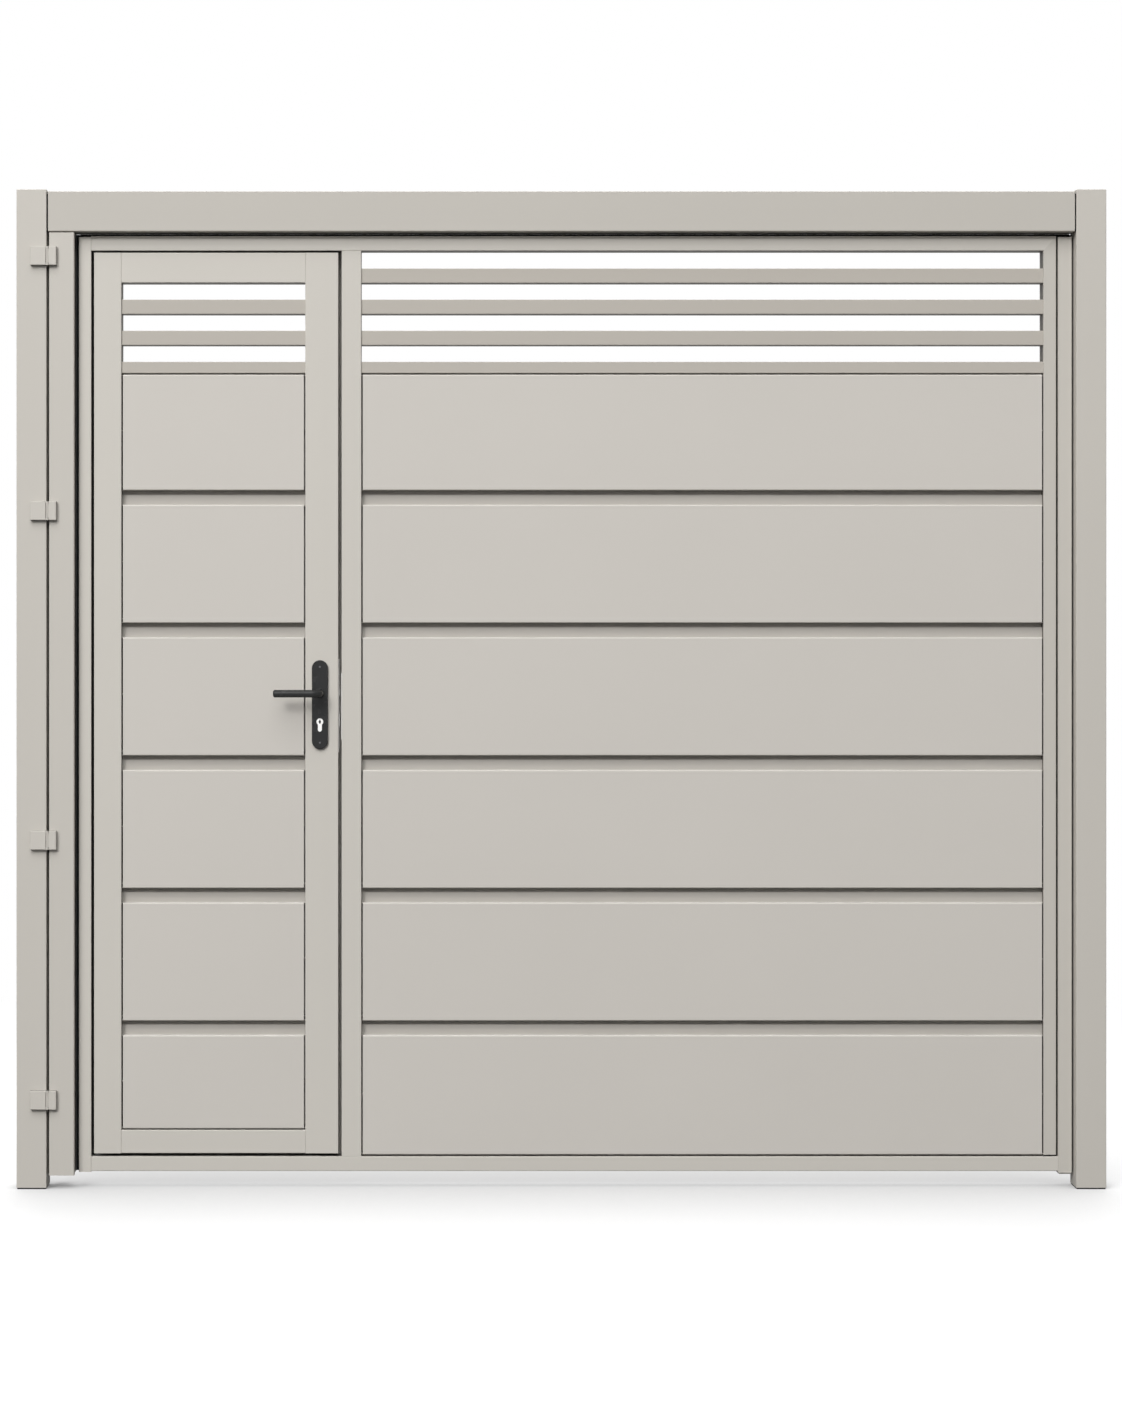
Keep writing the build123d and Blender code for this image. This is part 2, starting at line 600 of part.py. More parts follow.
# Lever handle
def backplate(face, out):
    """Long plate with round ends on one face of the lock stile."""
    y0, y1 = sorted((face, face + out * PLATE_THICKNESS))
    z1 = LEVER_HEIGHT + PLATE_ABOVE
    z0 = z1 - PLATE_HEIGHT
    radius = PLATE_WIDTH / 2
    plate = rod_y(LEVER_X, y0, y1, z1 - radius, radius) + rod_y(LEVER_X, y0, y1, z0 + radius, radius)
    plate += block(LEVER_X - radius, LEVER_X + radius, y0, y1, z0 + radius, z1 - radius)
    outer = plate.faces().filter_by(Axis.Y).sort_by(Axis.Y)[0 if out < 0 else -1]
    plate = chamfer(outer.edges(), PLATE_BEVEL)
    plate -= rod_y(LEVER_X, y0 - 1, y1 + 1, LEVER_HEIGHT, LEVER_RADIUS + RUNNING_FIT)
    return plate - euro_outline(y0 - 1, y1 + 1, 0.3)


def lever(face, out):
    """Round bar that leaves the plate and turns towards the hinges."""
    knee = face + out * (PLATE_THICKNESS + LEVER_REACH)
    path = FilletPolyline((LEVER_X, face + out * 0.5, LEVER_HEIGHT), (LEVER_X, knee, LEVER_HEIGHT),
                          (LEVER_X - LEVER_LENGTH, knee, LEVER_HEIGHT), radius=LEVER_BEND)
    section = Plane((LEVER_X, face + out * 0.5, LEVER_HEIGHT), z_dir=(0, out, 0)) * Circle(LEVER_RADIUS)
    body = sweep(section, path)
    tip = body.edges().filter_by(GeomType.CIRCLE).sort_by(Axis.X)[0]
    return chamfer(tip, LEVER_TIP)


def outside_lever():
    half = SPINDLE_SIDE / 2
    spindle = block(LEVER_X - half, LEVER_X + half, LEAF_FRONT - 1, LEAF_BACK + 0.5, LEVER_HEIGHT - half,
                    LEVER_HEIGHT + half)
    return lever(LEAF_FRONT, -1) + spindle


def lock_cylinder():
    front = LEAF_FRONT - PLATE_THICKNESS - CYLINDER_OUT
    back = LEAF_BACK + PLATE_THICKNESS + CYLINDER_OUT
    body = euro_outline(front, back, 0)
    side = KEYWAY_WIDTH / 2
    tall = KEYWAY_HEIGHT / 2
    for y in (front, back):
        body -= block(LEVER_X - side, LEVER_X + side, y - KEYWAY_DEPTH, y + KEYWAY_DEPTH,
                      CYLINDER_Z - tall, CYLINDER_Z + tall)
    return body


# Lifting gear, drawn on the left side
ARM_RIGHT = LEAF_LEFT - ARM_GAP
ARM_LEFT = ARM_RIGHT - ARM_THICKNESS
HEAD_LEFT = ARM_LEFT - SIDE_PLAY - HEAD_THICKNESS
TRACK_RIGHT = HEAD_LEFT - TRACK_GAP
TRACK_LEFT = TRACK_RIGHT - TRACK_DEPTH
TRACK_TOP = PIVOT_Z - TRACK_BELOW_PIVOT


def lift_arm():
    """Flat bar with round ends between the fixed pivot and the leaf's pivot."""
    half = ARM_WIDTH / 2
    arm = block(ARM_LEFT, ARM_RIGHT, GEAR_Y - half, GEAR_Y + half, KNEE_Z, PIVOT_Z)
    for z in (KNEE_Z, PIVOT_Z):
        arm += rod_x(ARM_LEFT, ARM_RIGHT, GEAR_Y, z, half)
    for z in (KNEE_Z, PIVOT_Z):
        arm -= rod_x(ARM_LEFT - 1, ARM_RIGHT + 1, GEAR_Y, z, PIVOT_RADIUS + RUNNING_FIT)
    return arm


def guide_track():
    """Channel open towards the leaf, with lips that keep the roller in."""
    half = ROLLER_RADIUS + 0.5 + TRACK_WALL
    track = block(TRACK_LEFT, TRACK_RIGHT, GEAR_Y - half, GEAR_Y + half, LEAF_FOOT, TRACK_TOP)
    room = half - TRACK_WALL
    track -= block(TRACK_LEFT + TRACK_WALL, TRACK_RIGHT - TRACK_WALL, GEAR_Y - room, GEAR_Y + room,
                   LEAF_FOOT - 1, TRACK_TOP + 1)
    slot = SPINDLE_RADIUS + 3
    return track - block(TRACK_RIGHT - TRACK_WALL - 1, TRACK_RIGHT + 1, GEAR_Y - slot, GEAR_Y + slot,
                         LEAF_FOOT - 1, TRACK_TOP + 1)


def arm_bracket():
    """Bracket on the portal that carries the arm's fixed pivot."""
    right = ARM_LEFT - BRACKET_CLEAR
    tall = BRACKET_HEIGHT / 2
    plate = bar(right - BRACKET_WIDTH, right, POST_BACK, POST_BACK + BRACKET_PLATE, PIVOT_Z - tall,
                PIVOT_Z + tall, Axis.Y, PLATE_CORNER)
    boss = block(right - BRACKET_BOSS, right, POST_BACK + BRACKET_PLATE, GEAR_Y, PIVOT_Z - BRACKET_RADIUS,
                 PIVOT_Z + BRACKET_RADIUS)
    boss += rod_x(right - BRACKET_BOSS, right, GEAR_Y, PIVOT_Z, BRACKET_RADIUS)
    pin = rod_x(right, ARM_LEFT - SIDE_PLAY, GEAR_Y, PIVOT_Z, HEAD_RADIUS)
    pin += rod_x(right, ARM_RIGHT + SIDE_PLAY + 1, GEAR_Y, PIVOT_Z, PIVOT_RADIUS)
    pin += rod_x(ARM_RIGHT + SIDE_PLAY, ARM_RIGHT + SIDE_PLAY + HEAD_THICKNESS, GEAR_Y, PIVOT_Z, HEAD_RADIUS)
    return plate + boss + pin


def leaf_bracket(z):
    """Plate and boss on the back of a leaf stile."""
    left = LEAF_LEFT + STILE_BRACKET_INSET
    tall = BRACKET_HEIGHT / 2
    plate = bar(left, left + STILE_BRACKET_WIDTH, LEAF_BACK, LEAF_BACK + BRACKET_PLATE, z - tall, z + tall,
                Axis.Y, PLATE_CORNER)
    boss = block(left, left + BRACKET_BOSS, LEAF_BACK + BRACKET_PLATE, GEAR_Y, z - STILE_BRACKET_RADIUS,
                 z + STILE_BRACKET_RADIUS)
    return plate + boss + rod_x(left, left + BRACKET_BOSS, GEAR_Y, z, STILE_BRACKET_RADIUS)


def arm_pivot():
    left = LEAF_LEFT + STILE_BRACKET_INSET
    pin = rod_x(ARM_RIGHT + SIDE_PLAY, left, GEAR_Y, KNEE_Z, HEAD_RADIUS)
    pin += rod_x(HEAD_LEFT + 1, left, GEAR_Y, KNEE_Z, PIVOT_RADIUS)
    pin += rod_x(HEAD_LEFT, HEAD_LEFT + HEAD_THICKNESS, GEAR_Y, KNEE_Z, HEAD_RADIUS)
    return leaf_bracket(KNEE_Z) + pin


def roller_centre():
    return TRACK_LEFT + TRACK_WALL + 3 + ROLLER_WIDTH / 2


def roller_bracket():
    spindle = rod_x(roller_centre() - ROLLER_WIDTH / 2, LEAF_LEFT + STILE_BRACKET_INSET, GEAR_Y, ROLLER_Z,
                    SPINDLE_RADIUS)
    return leaf_bracket(ROLLER_Z) + spindle


def guide_roller():
    x = roller_centre()
    wheel = rod_x(x - ROLLER_WIDTH / 2, x + ROLLER_WIDTH / 2, GEAR_Y, ROLLER_Z, ROLLER_RADIUS)
    wheel = chamfer(wheel.edges().filter_by(GeomType.CIRCLE), ROLLER_BEVEL)
    return wheel - rod_x(x - ROLLER_WIDTH, x + ROLLER_WIDTH, GEAR_Y, ROLLER_Z, SPINDLE_RADIUS + RUNNING_FIT)


parts = {
    "left_post": post(0),
    "right_post": post(RIGHT_POST_X),
    "left_post_foot": post_foot(0),
    "right_post_foot": post_foot(RIGHT_POST_X),
    "post_caps": Compound([post_cap(0), post_cap(RIGHT_POST_X)]),
    "top_beam": top_beam(),
    "beam_end_plates": beam_end_plates(),
    "side_duct": side_duct(),
    "cover_hinge_plates": Compound([cover_hinge_plate(z) for z in cover_hinge_levels()]),
    "left_guide_track": guide_track(),
    "right_guide_track": mirrored(guide_track()),
    "arm_brackets": pair(arm_bracket()),
    "duct_cover": duct_cover(),
    "cover_hinge_barrels": Compound([cover_hinge_barrel(z) for z in cover_hinge_levels()]),
    "left_lift_arm": lift_arm(),
    "right_lift_arm": mirrored(lift_arm()),
    "leaf_left_stile": leaf_stile(LEAF_LEFT, DOORWAY_LEFT),
    "leaf_right_stile": leaf_stile(MAIN_RIGHT, LEAF_RIGHT),
    "leaf_end_caps": leaf_end_caps(),
    "leaf_top_rail": leaf_top_rail(),
    "leaf_bottom_rail": leaf_bottom_rail(),
    "leaf_mullion": leaf_mullion(),
    "main_edge_stile": main_edge_stile(),
    "leaf_seals": Compound([main_panel_gasket(), hinge_side_seal()]),
    "main_louvre_slats": louvre_slats(MAIN_LEFT, EDGE_LEFT, 0),
    "main_planks": planks(MAIN_LEFT, EDGE_LEFT, SILL, EDGE_GAP),
    "arm_pivots": pair(arm_pivot()),
    "roller_brackets": pair(roller_bracket()),
    "guide_rollers": pair(guide_roller()),
    "wicket_frame_hinges": Compound([butt_frame_half(z) for z in butt_levels()]),
    "strike_plate": strike_plate(),
    "wicket_hinge_stile": wicket_stile(WICKET_LEFT, PANEL_LEFT),
    "wicket_lock_stile": wicket_lock_stile(),
    "wicket_top_rail": wicket_rail(WICKET_HEAD, WICKET_TOP),
    "wicket_bottom_rail": wicket_rail(WICKET_FOOT, WICKET_SILL),
    "wicket_louvre_slats": louvre_slats(PANEL_LEFT, PANEL_RIGHT, 1),
    "wicket_planks": planks(PANEL_LEFT, PANEL_RIGHT, WICKET_SILL, WICKET_FOOT_LINE),
    "wicket_stop_beads": wicket_stop_beads(),
    "wicket_door_hinges": Compound([butt_door_half(z) for z in butt_levels()]),
    "outside_backplate": backplate(LEAF_FRONT, -1),
    "inside_backplate": backplate(LEAF_BACK, 1),
    "lock_cylinder": lock_cylinder(),
    "lock_faceplate": lock_faceplate(),
    "outside_lever": outside_lever(),
    "inside_lever": lever(LEAF_BACK, 1),
}

os.makedirs("parts", exist_ok=True)
for name, shape in parts.items():
    export_step(shape, f"parts/{name}.step")
    print(name, len(shape.solids()), [round(v, 1) for v in shape.bounding_box().min],
          [round(v, 1) for v in shape.bounding_box().max])
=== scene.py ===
# %% [markdown]
# # A gate that swings up and over
# The gate stands closed: two posts and a beam, and behind them a leaf with louvres, planks and a small
# door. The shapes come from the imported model. This lesson adds what the bare model lacks: the powder coat,
# zinc and rubber, the screws, clips and seals, and the light of a plain studio.

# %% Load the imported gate
import json
import math
import bmesh
import bpy
import numpy as np
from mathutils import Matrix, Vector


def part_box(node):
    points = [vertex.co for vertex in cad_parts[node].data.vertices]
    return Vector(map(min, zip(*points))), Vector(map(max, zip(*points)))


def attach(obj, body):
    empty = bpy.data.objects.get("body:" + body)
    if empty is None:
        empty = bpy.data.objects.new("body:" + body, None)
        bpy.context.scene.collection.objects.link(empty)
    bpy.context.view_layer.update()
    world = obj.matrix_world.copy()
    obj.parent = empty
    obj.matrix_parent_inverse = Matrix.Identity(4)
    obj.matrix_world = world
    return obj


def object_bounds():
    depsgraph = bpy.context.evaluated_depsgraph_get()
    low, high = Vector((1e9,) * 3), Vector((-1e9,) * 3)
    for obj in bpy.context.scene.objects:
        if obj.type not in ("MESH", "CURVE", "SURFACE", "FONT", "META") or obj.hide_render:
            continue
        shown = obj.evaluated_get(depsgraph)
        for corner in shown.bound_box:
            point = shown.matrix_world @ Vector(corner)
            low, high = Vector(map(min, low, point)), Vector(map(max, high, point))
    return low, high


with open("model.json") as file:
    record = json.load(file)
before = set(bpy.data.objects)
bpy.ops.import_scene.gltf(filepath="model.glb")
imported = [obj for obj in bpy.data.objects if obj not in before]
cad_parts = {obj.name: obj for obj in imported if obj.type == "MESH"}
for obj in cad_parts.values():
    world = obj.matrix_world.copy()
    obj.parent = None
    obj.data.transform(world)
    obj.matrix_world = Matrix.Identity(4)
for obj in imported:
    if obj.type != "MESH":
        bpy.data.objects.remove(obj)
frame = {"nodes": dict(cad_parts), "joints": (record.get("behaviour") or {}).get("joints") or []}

cad_box = [list(corner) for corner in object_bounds()]
nodes = frame["nodes"]
scene = bpy.context.scene
print("nodes:", len(nodes), "box:", cad_box)

# %% [markdown]
# ## Where the camera stands
# The posts' inner faces show a little below the leaf, and their widths tell where the camera stood: about
# 7.7 m in front, left of the middle and at eye height. The picture isn't centred on that point. Turning the
# camera would make the posts lean, so a lens shift moves the frame instead and they stay upright.

# %% Camera
IMAGE_WIDTH = 1122
IMAGE_HEIGHT = 1402
EYE = (0.9964, -7.6875, 1.488)
EYE_PIXEL = (430, 594)
FOCAL_PIXELS = 3060
SENSOR_WIDTH = 36
FARTHEST = 200

camera_data = bpy.data.cameras.new("viewpoint")
camera_data.sensor_width = SENSOR_WIDTH
camera_data.lens = SENSOR_WIDTH * FOCAL_PIXELS / IMAGE_HEIGHT
camera_data.shift_x = (IMAGE_WIDTH / 2 - EYE_PIXEL[0]) / IMAGE_HEIGHT
camera_data.shift_y = (EYE_PIXEL[1] - IMAGE_HEIGHT / 2) / IMAGE_HEIGHT
camera_data.clip_end = FARTHEST
camera = bpy.data.objects.new("viewpoint", camera_data)
camera.location = EYE
camera.rotation_euler = (math.pi / 2, 0, 0)
scene.collection.objects.link(camera)
scene.camera = camera
print("lens:", round(camera_data.lens, 1), "mm")

# %% [markdown]
# ## Light
# The handle's shadow falls a little to the right and down and is soft, every overhang has a darker band
# under it, and the gate is a shade darker near the ground. So most light comes from a very large lamp high in
# front. A smaller one on the upper left draws the soft shadows, a weak one near the camera reaches under the
# overhangs, one behind lights the gate's back and the floor there, and the sky only fills the hollows. A
# bright sky alone would be simpler, but it lights every groove from all sides. The camera and the metals see
# the sky as plain white, which is done by the kind of ray and not by more light.

# %% Helpers for shader nodes
scene.view_settings.view_transform = "Standard"


def feed(tree, socket, value):
    """Link a socket to another one, or set it to a number or a colour; None leaves it as it is."""
    if isinstance(value, bpy.types.NodeSocket):
        tree.links.new(value, socket)
    elif value is not None:
        socket.default_value = value


def calc(tree, operation, first, second=None):
    """A math node on one or two inputs, each a socket or a number."""
    node = tree.nodes.new("ShaderNodeMath")
    node.operation = operation
    feed(tree, node.inputs[0], first)
    feed(tree, node.inputs[1], second)
    return node.outputs[0]


def remap(tree, source, low, high, start=0.0, end=1.0, course="LINEAR"):
    """A value from start..end carried to low..high."""
    node = tree.nodes.new("ShaderNodeMapRange")
    node.interpolation_type = course
    limits = {"From Min": start, "From Max": end, "To Min": low, "To Max": high}
    for label, value in {"Value": source, **limits}.items():
        feed(tree, node.inputs[label], value)
    return node.outputs["Result"]


def parted(tree, vector):
    """The three numbers of a vector."""
    node = tree.nodes.new("ShaderNodeSeparateXYZ")
    tree.links.new(vector, node.inputs[0])
    return node.outputs


def chosen(tree, mask, first, second):
    """Two shaders by a mask: the first where it is nought, the second where it is one."""
    node = tree.nodes.new("ShaderNodeMixShader")
    for socket, value in zip(node.inputs, (mask, first, second)):
        tree.links.new(value, socket)
    return node.outputs[0]


def seen_rays(tree):
    """One for rays of the camera, of reflections and of clear pieces, nought for scattered light."""
    path = tree.nodes.new("ShaderNodeLightPath").outputs
    mirrored = calc(tree, "MAXIMUM", path["Is Camera Ray"], path["Is Glossy Ray"])
    return calc(tree, "MAXIMUM", mirrored, path["Is Transmission Ray"])


print("colours are shown by the", scene.view_settings.view_transform, "view")

# %% Sky
SKY_TONE = (0.985, 0.99, 1.0, 1)
WHITE = (1, 1, 1, 1)
WHITE_STRENGTH = 1.0
HORIZON_STRENGTH = 0.02
OVERHEAD_STRENGTH = 0.40
OVERHEAD_FROM = 0.8

world = bpy.data.worlds.new("white_room")
scene.world = world
world.use_nodes = True
sky = world.node_tree
sky.nodes.clear()


def background(colour, strength):
    """A sky of one colour, with a socket or a number as its strength."""
    node = sky.nodes.new("ShaderNodeBackground")
    node.inputs["Color"].default_value = colour
    feed(sky, node.inputs["Strength"], strength)
    return node.outputs[0]


direction = sky.nodes.new("ShaderNodeTexCoord").outputs["Generated"]
steepness = parted(sky, direction)["Z"]
fill = background(SKY_TONE, remap(sky, steepness, HORIZON_STRENGTH, OVERHEAD_STRENGTH, end=OVERHEAD_FROM))
room = chosen(sky, seen_rays(sky), fill, background(WHITE, WHITE_STRENGTH))
sky.links.new(room, sky.nodes.new("ShaderNodeOutputWorld").inputs["Surface"])
print("sky strength:", HORIZON_STRENGTH, "at the horizon,", OVERHEAD_STRENGTH, "overhead")

# %% Lamps
middle_x, _, middle_z = np.mean(cad_box, axis=0)


def soft_lamp(name, left, up, distance, size, watts):
    """A square lamp that faces the gate's middle from so many degrees left of the front and so many up.

    Its place is the middle plus the distance along that direction.
    """
    lamp = bpy.data.lights.new(name, "AREA")
    lamp.size = size
    lamp.energy = watts
    holder = bpy.data.objects.new(name, lamp)
    left, up = math.radians(left), math.radians(up)
    level, rise = distance * math.cos(up), distance * math.sin(up)
    holder.location = (middle_x - level * math.sin(left), -level * math.cos(left), middle_z + rise)
    holder.rotation_euler = (math.pi / 2 - up, 0, -left)
    scene.collection.objects.link(holder)


soft_lamp("high_front", left=16, up=49, distance=18.8, size=14, watts=2690)
soft_lamp("low_front", left=4, up=13, distance=20, size=6, watts=340)
soft_lamp("upper_left", left=31, up=27, distance=24, size=6, watts=2050)
soft_lamp("behind", left=180, up=58, distance=18, size=10, watts=2100)
print("lamps:", [lamp.name for lamp in bpy.data.lights])

# %% [markdown]
# ## Floor
# A pale floor catches the soft shadow under the gate. What the camera sees of it is part lit paint and part
# a glow that is weaker in corners near other things, a painted shadow that gathers at the gate's foot. Away
# from the gate the glow takes over, and the floor runs into the white behind it without a horizon. A white
# floor lit to full white would throw too much light up, so for scattered light it is dark grey paint, and
# undersides stay dark.

# %% Floor sheet
FLOOR_HALF = 60
FLOOR_FRONT = -30
FLOOR_BACK = 120

floor_mesh = bpy.data.meshes.new("floor")
floor_mesh.from_pydata([(-FLOOR_HALF, FLOOR_FRONT, 0), (FLOOR_HALF, FLOOR_FRONT, 0),
                        (FLOOR_HALF, FLOOR_BACK, 0), (-FLOOR_HALF, FLOOR_BACK, 0)], [], [(0, 1, 2, 3)])
floor = bpy.data.objects.new("floor", floor_mesh)
scene.collection.objects.link(floor)
print("floor under the posts at z = 0")

# %% Floor paint
PAINT_SEEN = (0.36, 0.36, 0.36, 1)
PAINT_FOR_LIGHT = (0.08, 0.08, 0.08, 1)
CORNER_REACH = 0.6
CORNER_GLOW = 0.05
OPEN_GLOW = 0.66
FADE_START = 1.9
FADE_END = 4.0

paper = bpy.data.materials.new("floor_paper")
paper.use_nodes = True
tree = paper.node_tree
tree.nodes.clear()
floor_mesh.materials.append(paper)


def painted(colour):
    """Matt paint."""
    node = tree.nodes.new("ShaderNodeBsdfDiffuse")
    node.inputs["Color"].default_value = colour
    return node.outputs[0]


def glowing(strength):
    """A white glow, with a socket or a number as its strength."""
    node = tree.nodes.new("ShaderNodeEmission")
    feed(tree, node.inputs["Strength"], strength)
    return node.outputs[0]


# Painted shadow: the glow dims where other things are near.
corner = tree.nodes.new("ShaderNodeAmbientOcclusion")
corner.inputs["Distance"].default_value = CORNER_REACH
near = tree.nodes.new("ShaderNodeAddShader")
tree.links.new(painted(PAINT_SEEN), near.inputs[0])
tree.links.new(glowing(remap(tree, corner.outputs["AO"], CORNER_GLOW, OPEN_GLOW)), near.inputs[1])

centred = tree.nodes.new("ShaderNodeMapping")
centred.inputs["Location"].default_value = (-middle_x, 0, 0)
tree.links.new(tree.nodes.new("ShaderNodeTexCoord").outputs["Object"], centred.inputs["Vector"])
away = tree.nodes.new("ShaderNodeVectorMath")
away.operation = "LENGTH"
tree.links.new(centred.outputs["Vector"], away.inputs[0])
fade = remap(tree, away.outputs["Value"], 0.0, 1.0, FADE_START, FADE_END, "SMOOTHSTEP")

seen = chosen(tree, fade, near.outputs[0], glowing(WHITE_STRENGTH))
paint = chosen(tree, seen_rays(tree), painted(PAINT_FOR_LIGHT), seen)
tree.links.new(paint, tree.nodes.new("ShaderNodeOutputMaterial").inputs["Surface"])
print("floor fades to white from", FADE_START, "m to", FADE_END, "m off the gate's middle")

# %% [markdown]
# ## Shared effects
# Several finishes need the same small irregularities, so each effect is built once as a node group with
# named inputs and outputs. A group gives only masks and heights that change over the surface; the shader
# itself stays in the material. `mottle` is a broad, weak unevenness of tone, and `grain` the fine orange peel
# of a baked coat or the tooth of moulded rubber. One more group lightens faces near the ground, which is a
# thin veil of dust, and faces that look up, which is a painted highlight. Another darkens faces deep in a
# gap, half way between its two open sides, which is painted shade.

# %% Mottle and grain
MOTTLE_DETAIL = 3.0
GRAIN_DETAIL = 2.0


def effect(name, inputs, output):
    """A new shader node group with number inputs, one number output and the object's own coordinates."""
    group = bpy.data.node_groups.new(name, "ShaderNodeTree")
    for label, value in inputs.items():
        socket = group.interface.new_socket(label, in_out="INPUT", socket_type="NodeSocketFloat")
        socket.default_value = value
    group.interface.new_socket(output, in_out="OUTPUT", socket_type="NodeSocketFloat")
    given, gives = group.nodes.new("NodeGroupInput"), group.nodes.new("NodeGroupOutput")
    return group, given.outputs, gives.inputs[output], group.nodes.new("ShaderNodeTexCoord").outputs


def cloud(tree, place, scale, detail):
    """Noise at a place; the scale is a socket or a number."""
    node = tree.nodes.new("ShaderNodeTexNoise")
    node.inputs["Detail"].default_value = detail
    tree.links.new(place["Object"], node.inputs["Vector"])
    feed(tree, node.inputs["Scale"], scale)
    return node.outputs["Fac"]


mottle, given, gives, place = effect("mottle", {"Scale": 2.0}, "Mask")
mottle.links.new(cloud(mottle, place, given["Scale"], MOTTLE_DETAIL), gives)

grain, given, gives, place = effect("grain", {"Scale": 900.0}, "Height")
grain.links.new(cloud(grain, place, given["Scale"], GRAIN_DETAIL), gives)
print("groups:", mottle.name, "and", grain.name)

# %% Dust with a painted highlight, and painted shade in gaps
HIGHLIGHT_SLOPE = 0.4
DUSTY_FOOT = 0.35
FOOT_DUST = 0.08
DUST_SCALE = 14.0
DUST_DETAIL = 4.0
UNSHADED_SHARE = 1.0
FULL_SHADE_SHARE = 0.5

# Dust near the ground, and on faces that look up a painted highlight in the same lighter tone.
dust, given, gives, place = effect("dust", {"Amount": 0.1}, "Mask")
top_highlight = remap(dust, parted(dust, place["Normal"])["Z"], 0.0, 1.0, HIGHLIGHT_SLOPE, 1.0)
low_down = remap(dust, parted(dust, place["Object"])["Z"], FOOT_DUST, 0.0, 0.0, DUSTY_FOOT)
dust_and_top_light = calc(dust, "MAXIMUM", top_highlight, low_down)
patchy = calc(dust, "MULTIPLY", dust_and_top_light, cloud(dust, place, DUST_SCALE, DUST_DETAIL))
dust.links.new(calc(dust, "MULTIPLY", patchy, given["Amount"]), gives)

# Painted shade: faces deep in a gap, half way between front and back, are darkened.
grime, given, gives, place = effect("grime", {"Amount": 0.3, "Middle": 0.0175, "Half": 0.025}, "Mask")
depth = calc(grime, "SUBTRACT", parted(grime, place["Object"])["Y"], given["Middle"])
share = calc(grime, "DIVIDE", calc(grime, "ABSOLUTE", depth), given["Half"])
in_shade = remap(grime, share, 1.0, 0.0, FULL_SHADE_SHARE, UNSHADED_SHARE)
grime.links.new(calc(grime, "MULTIPLY", in_shade, given["Amount"]), gives)
print("groups:", dust.name, "and", grime.name)

# %% [markdown]
# ## Powder coat
# The whole gate has a baked warm-grey coat, matt with a fine grain. The coat is a function of a colour, and
# each family of profiles gets its own value: the posts, the beam, the right-hand stiles and the slats get
# darker copies of the one coat, which is painted shade. The mottle moves the colour by a few percent and the
# roughness a little, and the grain is a bump of hundredths of a millimetre. Dust lightens what is near the
# ground, a painted highlight what looks up, and painted shade darkens the gaps.

# %% Helpers for finishes


def used(tree, group, **values):
    """A node group placed in a material with its own values."""
    node = tree.nodes.new("ShaderNodeGroup")
    node.node_tree = group
    for label, value in values.items():
        node.inputs[label].default_value = value
    return node.outputs[0]


def mixed(tree, mask, first, second):
    """Two colours by a mask: the first where it is nought, the second where it is one."""
    node = tree.nodes.new("ShaderNodeMix")
    node.data_type = "RGBA"
    for label, value in (("Factor", mask), ("A", first), ("B", second)):
        feed(tree, node.inputs[label], value)
    return node.outputs["Result"]


print("effects:", [group.name for group in bpy.data.node_groups])

# %% A finish
# A light tone for dust and painted highlights, and a near-black one for painted shade in gaps.
DUST_AND_HIGHLIGHT_TONE = (0.80, 0.78, 0.74, 1)
PAINTED_SHADE_TONE = (0.075, 0.068, 0.058, 1)
ROUGH_SWING = 0.06


def finish_of(name, colour, rough, metal=0.0, tone=0.03, tone_scale=2.0, bump=0.00002, bump_scale=900.0,
              dust_highlight=0.2, gap_shading=None, shine=0.35):
    """A finish whose colour and roughness waver with the mottle, under painted gap shade and under dust with
    a painted highlight, on a grainy normal.

    The tone is the colour's swing to either side, the bump the grain's height in metres, and the gap shading
    holds the painted shade's own values: its amount, the middle of the gap and half its depth from front to
    back in metres.
    """
    material = bpy.data.materials.new(name)
    material.use_nodes = True
    tree = material.node_tree
    shader = tree.nodes["Principled BSDF"]
    shader.inputs["Metallic"].default_value = metal
    shader.inputs["Specular IOR Level"].default_value = shine
    patch = used(tree, mottle, Scale=tone_scale)
    darker, lighter = ([part * swing for part in colour] + [1] for swing in (1 - tone, 1 + tone))
    tint = mixed(tree, patch, darker, lighter)
    # Painted shade darkens the gaps, then dust and a painted highlight lighten what is low or looks up.
    if gap_shading:
        tint = mixed(tree, used(tree, grime, **gap_shading), tint, PAINTED_SHADE_TONE)
    tint = mixed(tree, used(tree, dust, Amount=dust_highlight), tint, DUST_AND_HIGHLIGHT_TONE)
    lift = tree.nodes.new("ShaderNodeBump")
    lift.inputs["Distance"].default_value = bump
    tree.links.new(used(tree, grain, Scale=bump_scale), lift.inputs["Height"])
    tree.links.new(tint, shader.inputs["Base Color"])
    tree.links.new(remap(tree, patch, rough - ROUGH_SWING, rough + ROUGH_SWING), shader.inputs["Roughness"])
    tree.links.new(lift.outputs["Normal"], shader.inputs["Normal"])
    return material


print("roughness wavers by", ROUGH_SWING, "to either side")

# %% Coats of the profiles
SHADED_POST_TONE = (0.555, 0.527, 0.480)
DUCT_SHADE_REACH = 0.030


def gap_of(name):
    """Middle and half of a node's depth from front to back, in metres."""
    front, back = (corner[1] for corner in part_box(name))
    return {"Middle": (front + back) / 2, "Half": (back - front) / 2}


def dress(material, *names):
    """Give CAD nodes a finish by their material slots."""
    for name in names:
        mesh = nodes[name].data
        mesh.materials.clear()
        mesh.materials.append(material)


leaf_gap, plank_gap = gap_of("leaf_left_stile"), gap_of("main_planks")
slat_gap = gap_of("main_louvre_slats")
duct_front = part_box("side_duct")[0][1]
hinge_front, hinge_back = (corner[1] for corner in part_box("cover_hinge_plates"))
duct_gap = {"Middle": duct_front, "Half": DUCT_SHADE_REACH}
hinge_gap = {"Middle": hinge_back, "Half": hinge_back - hinge_front}
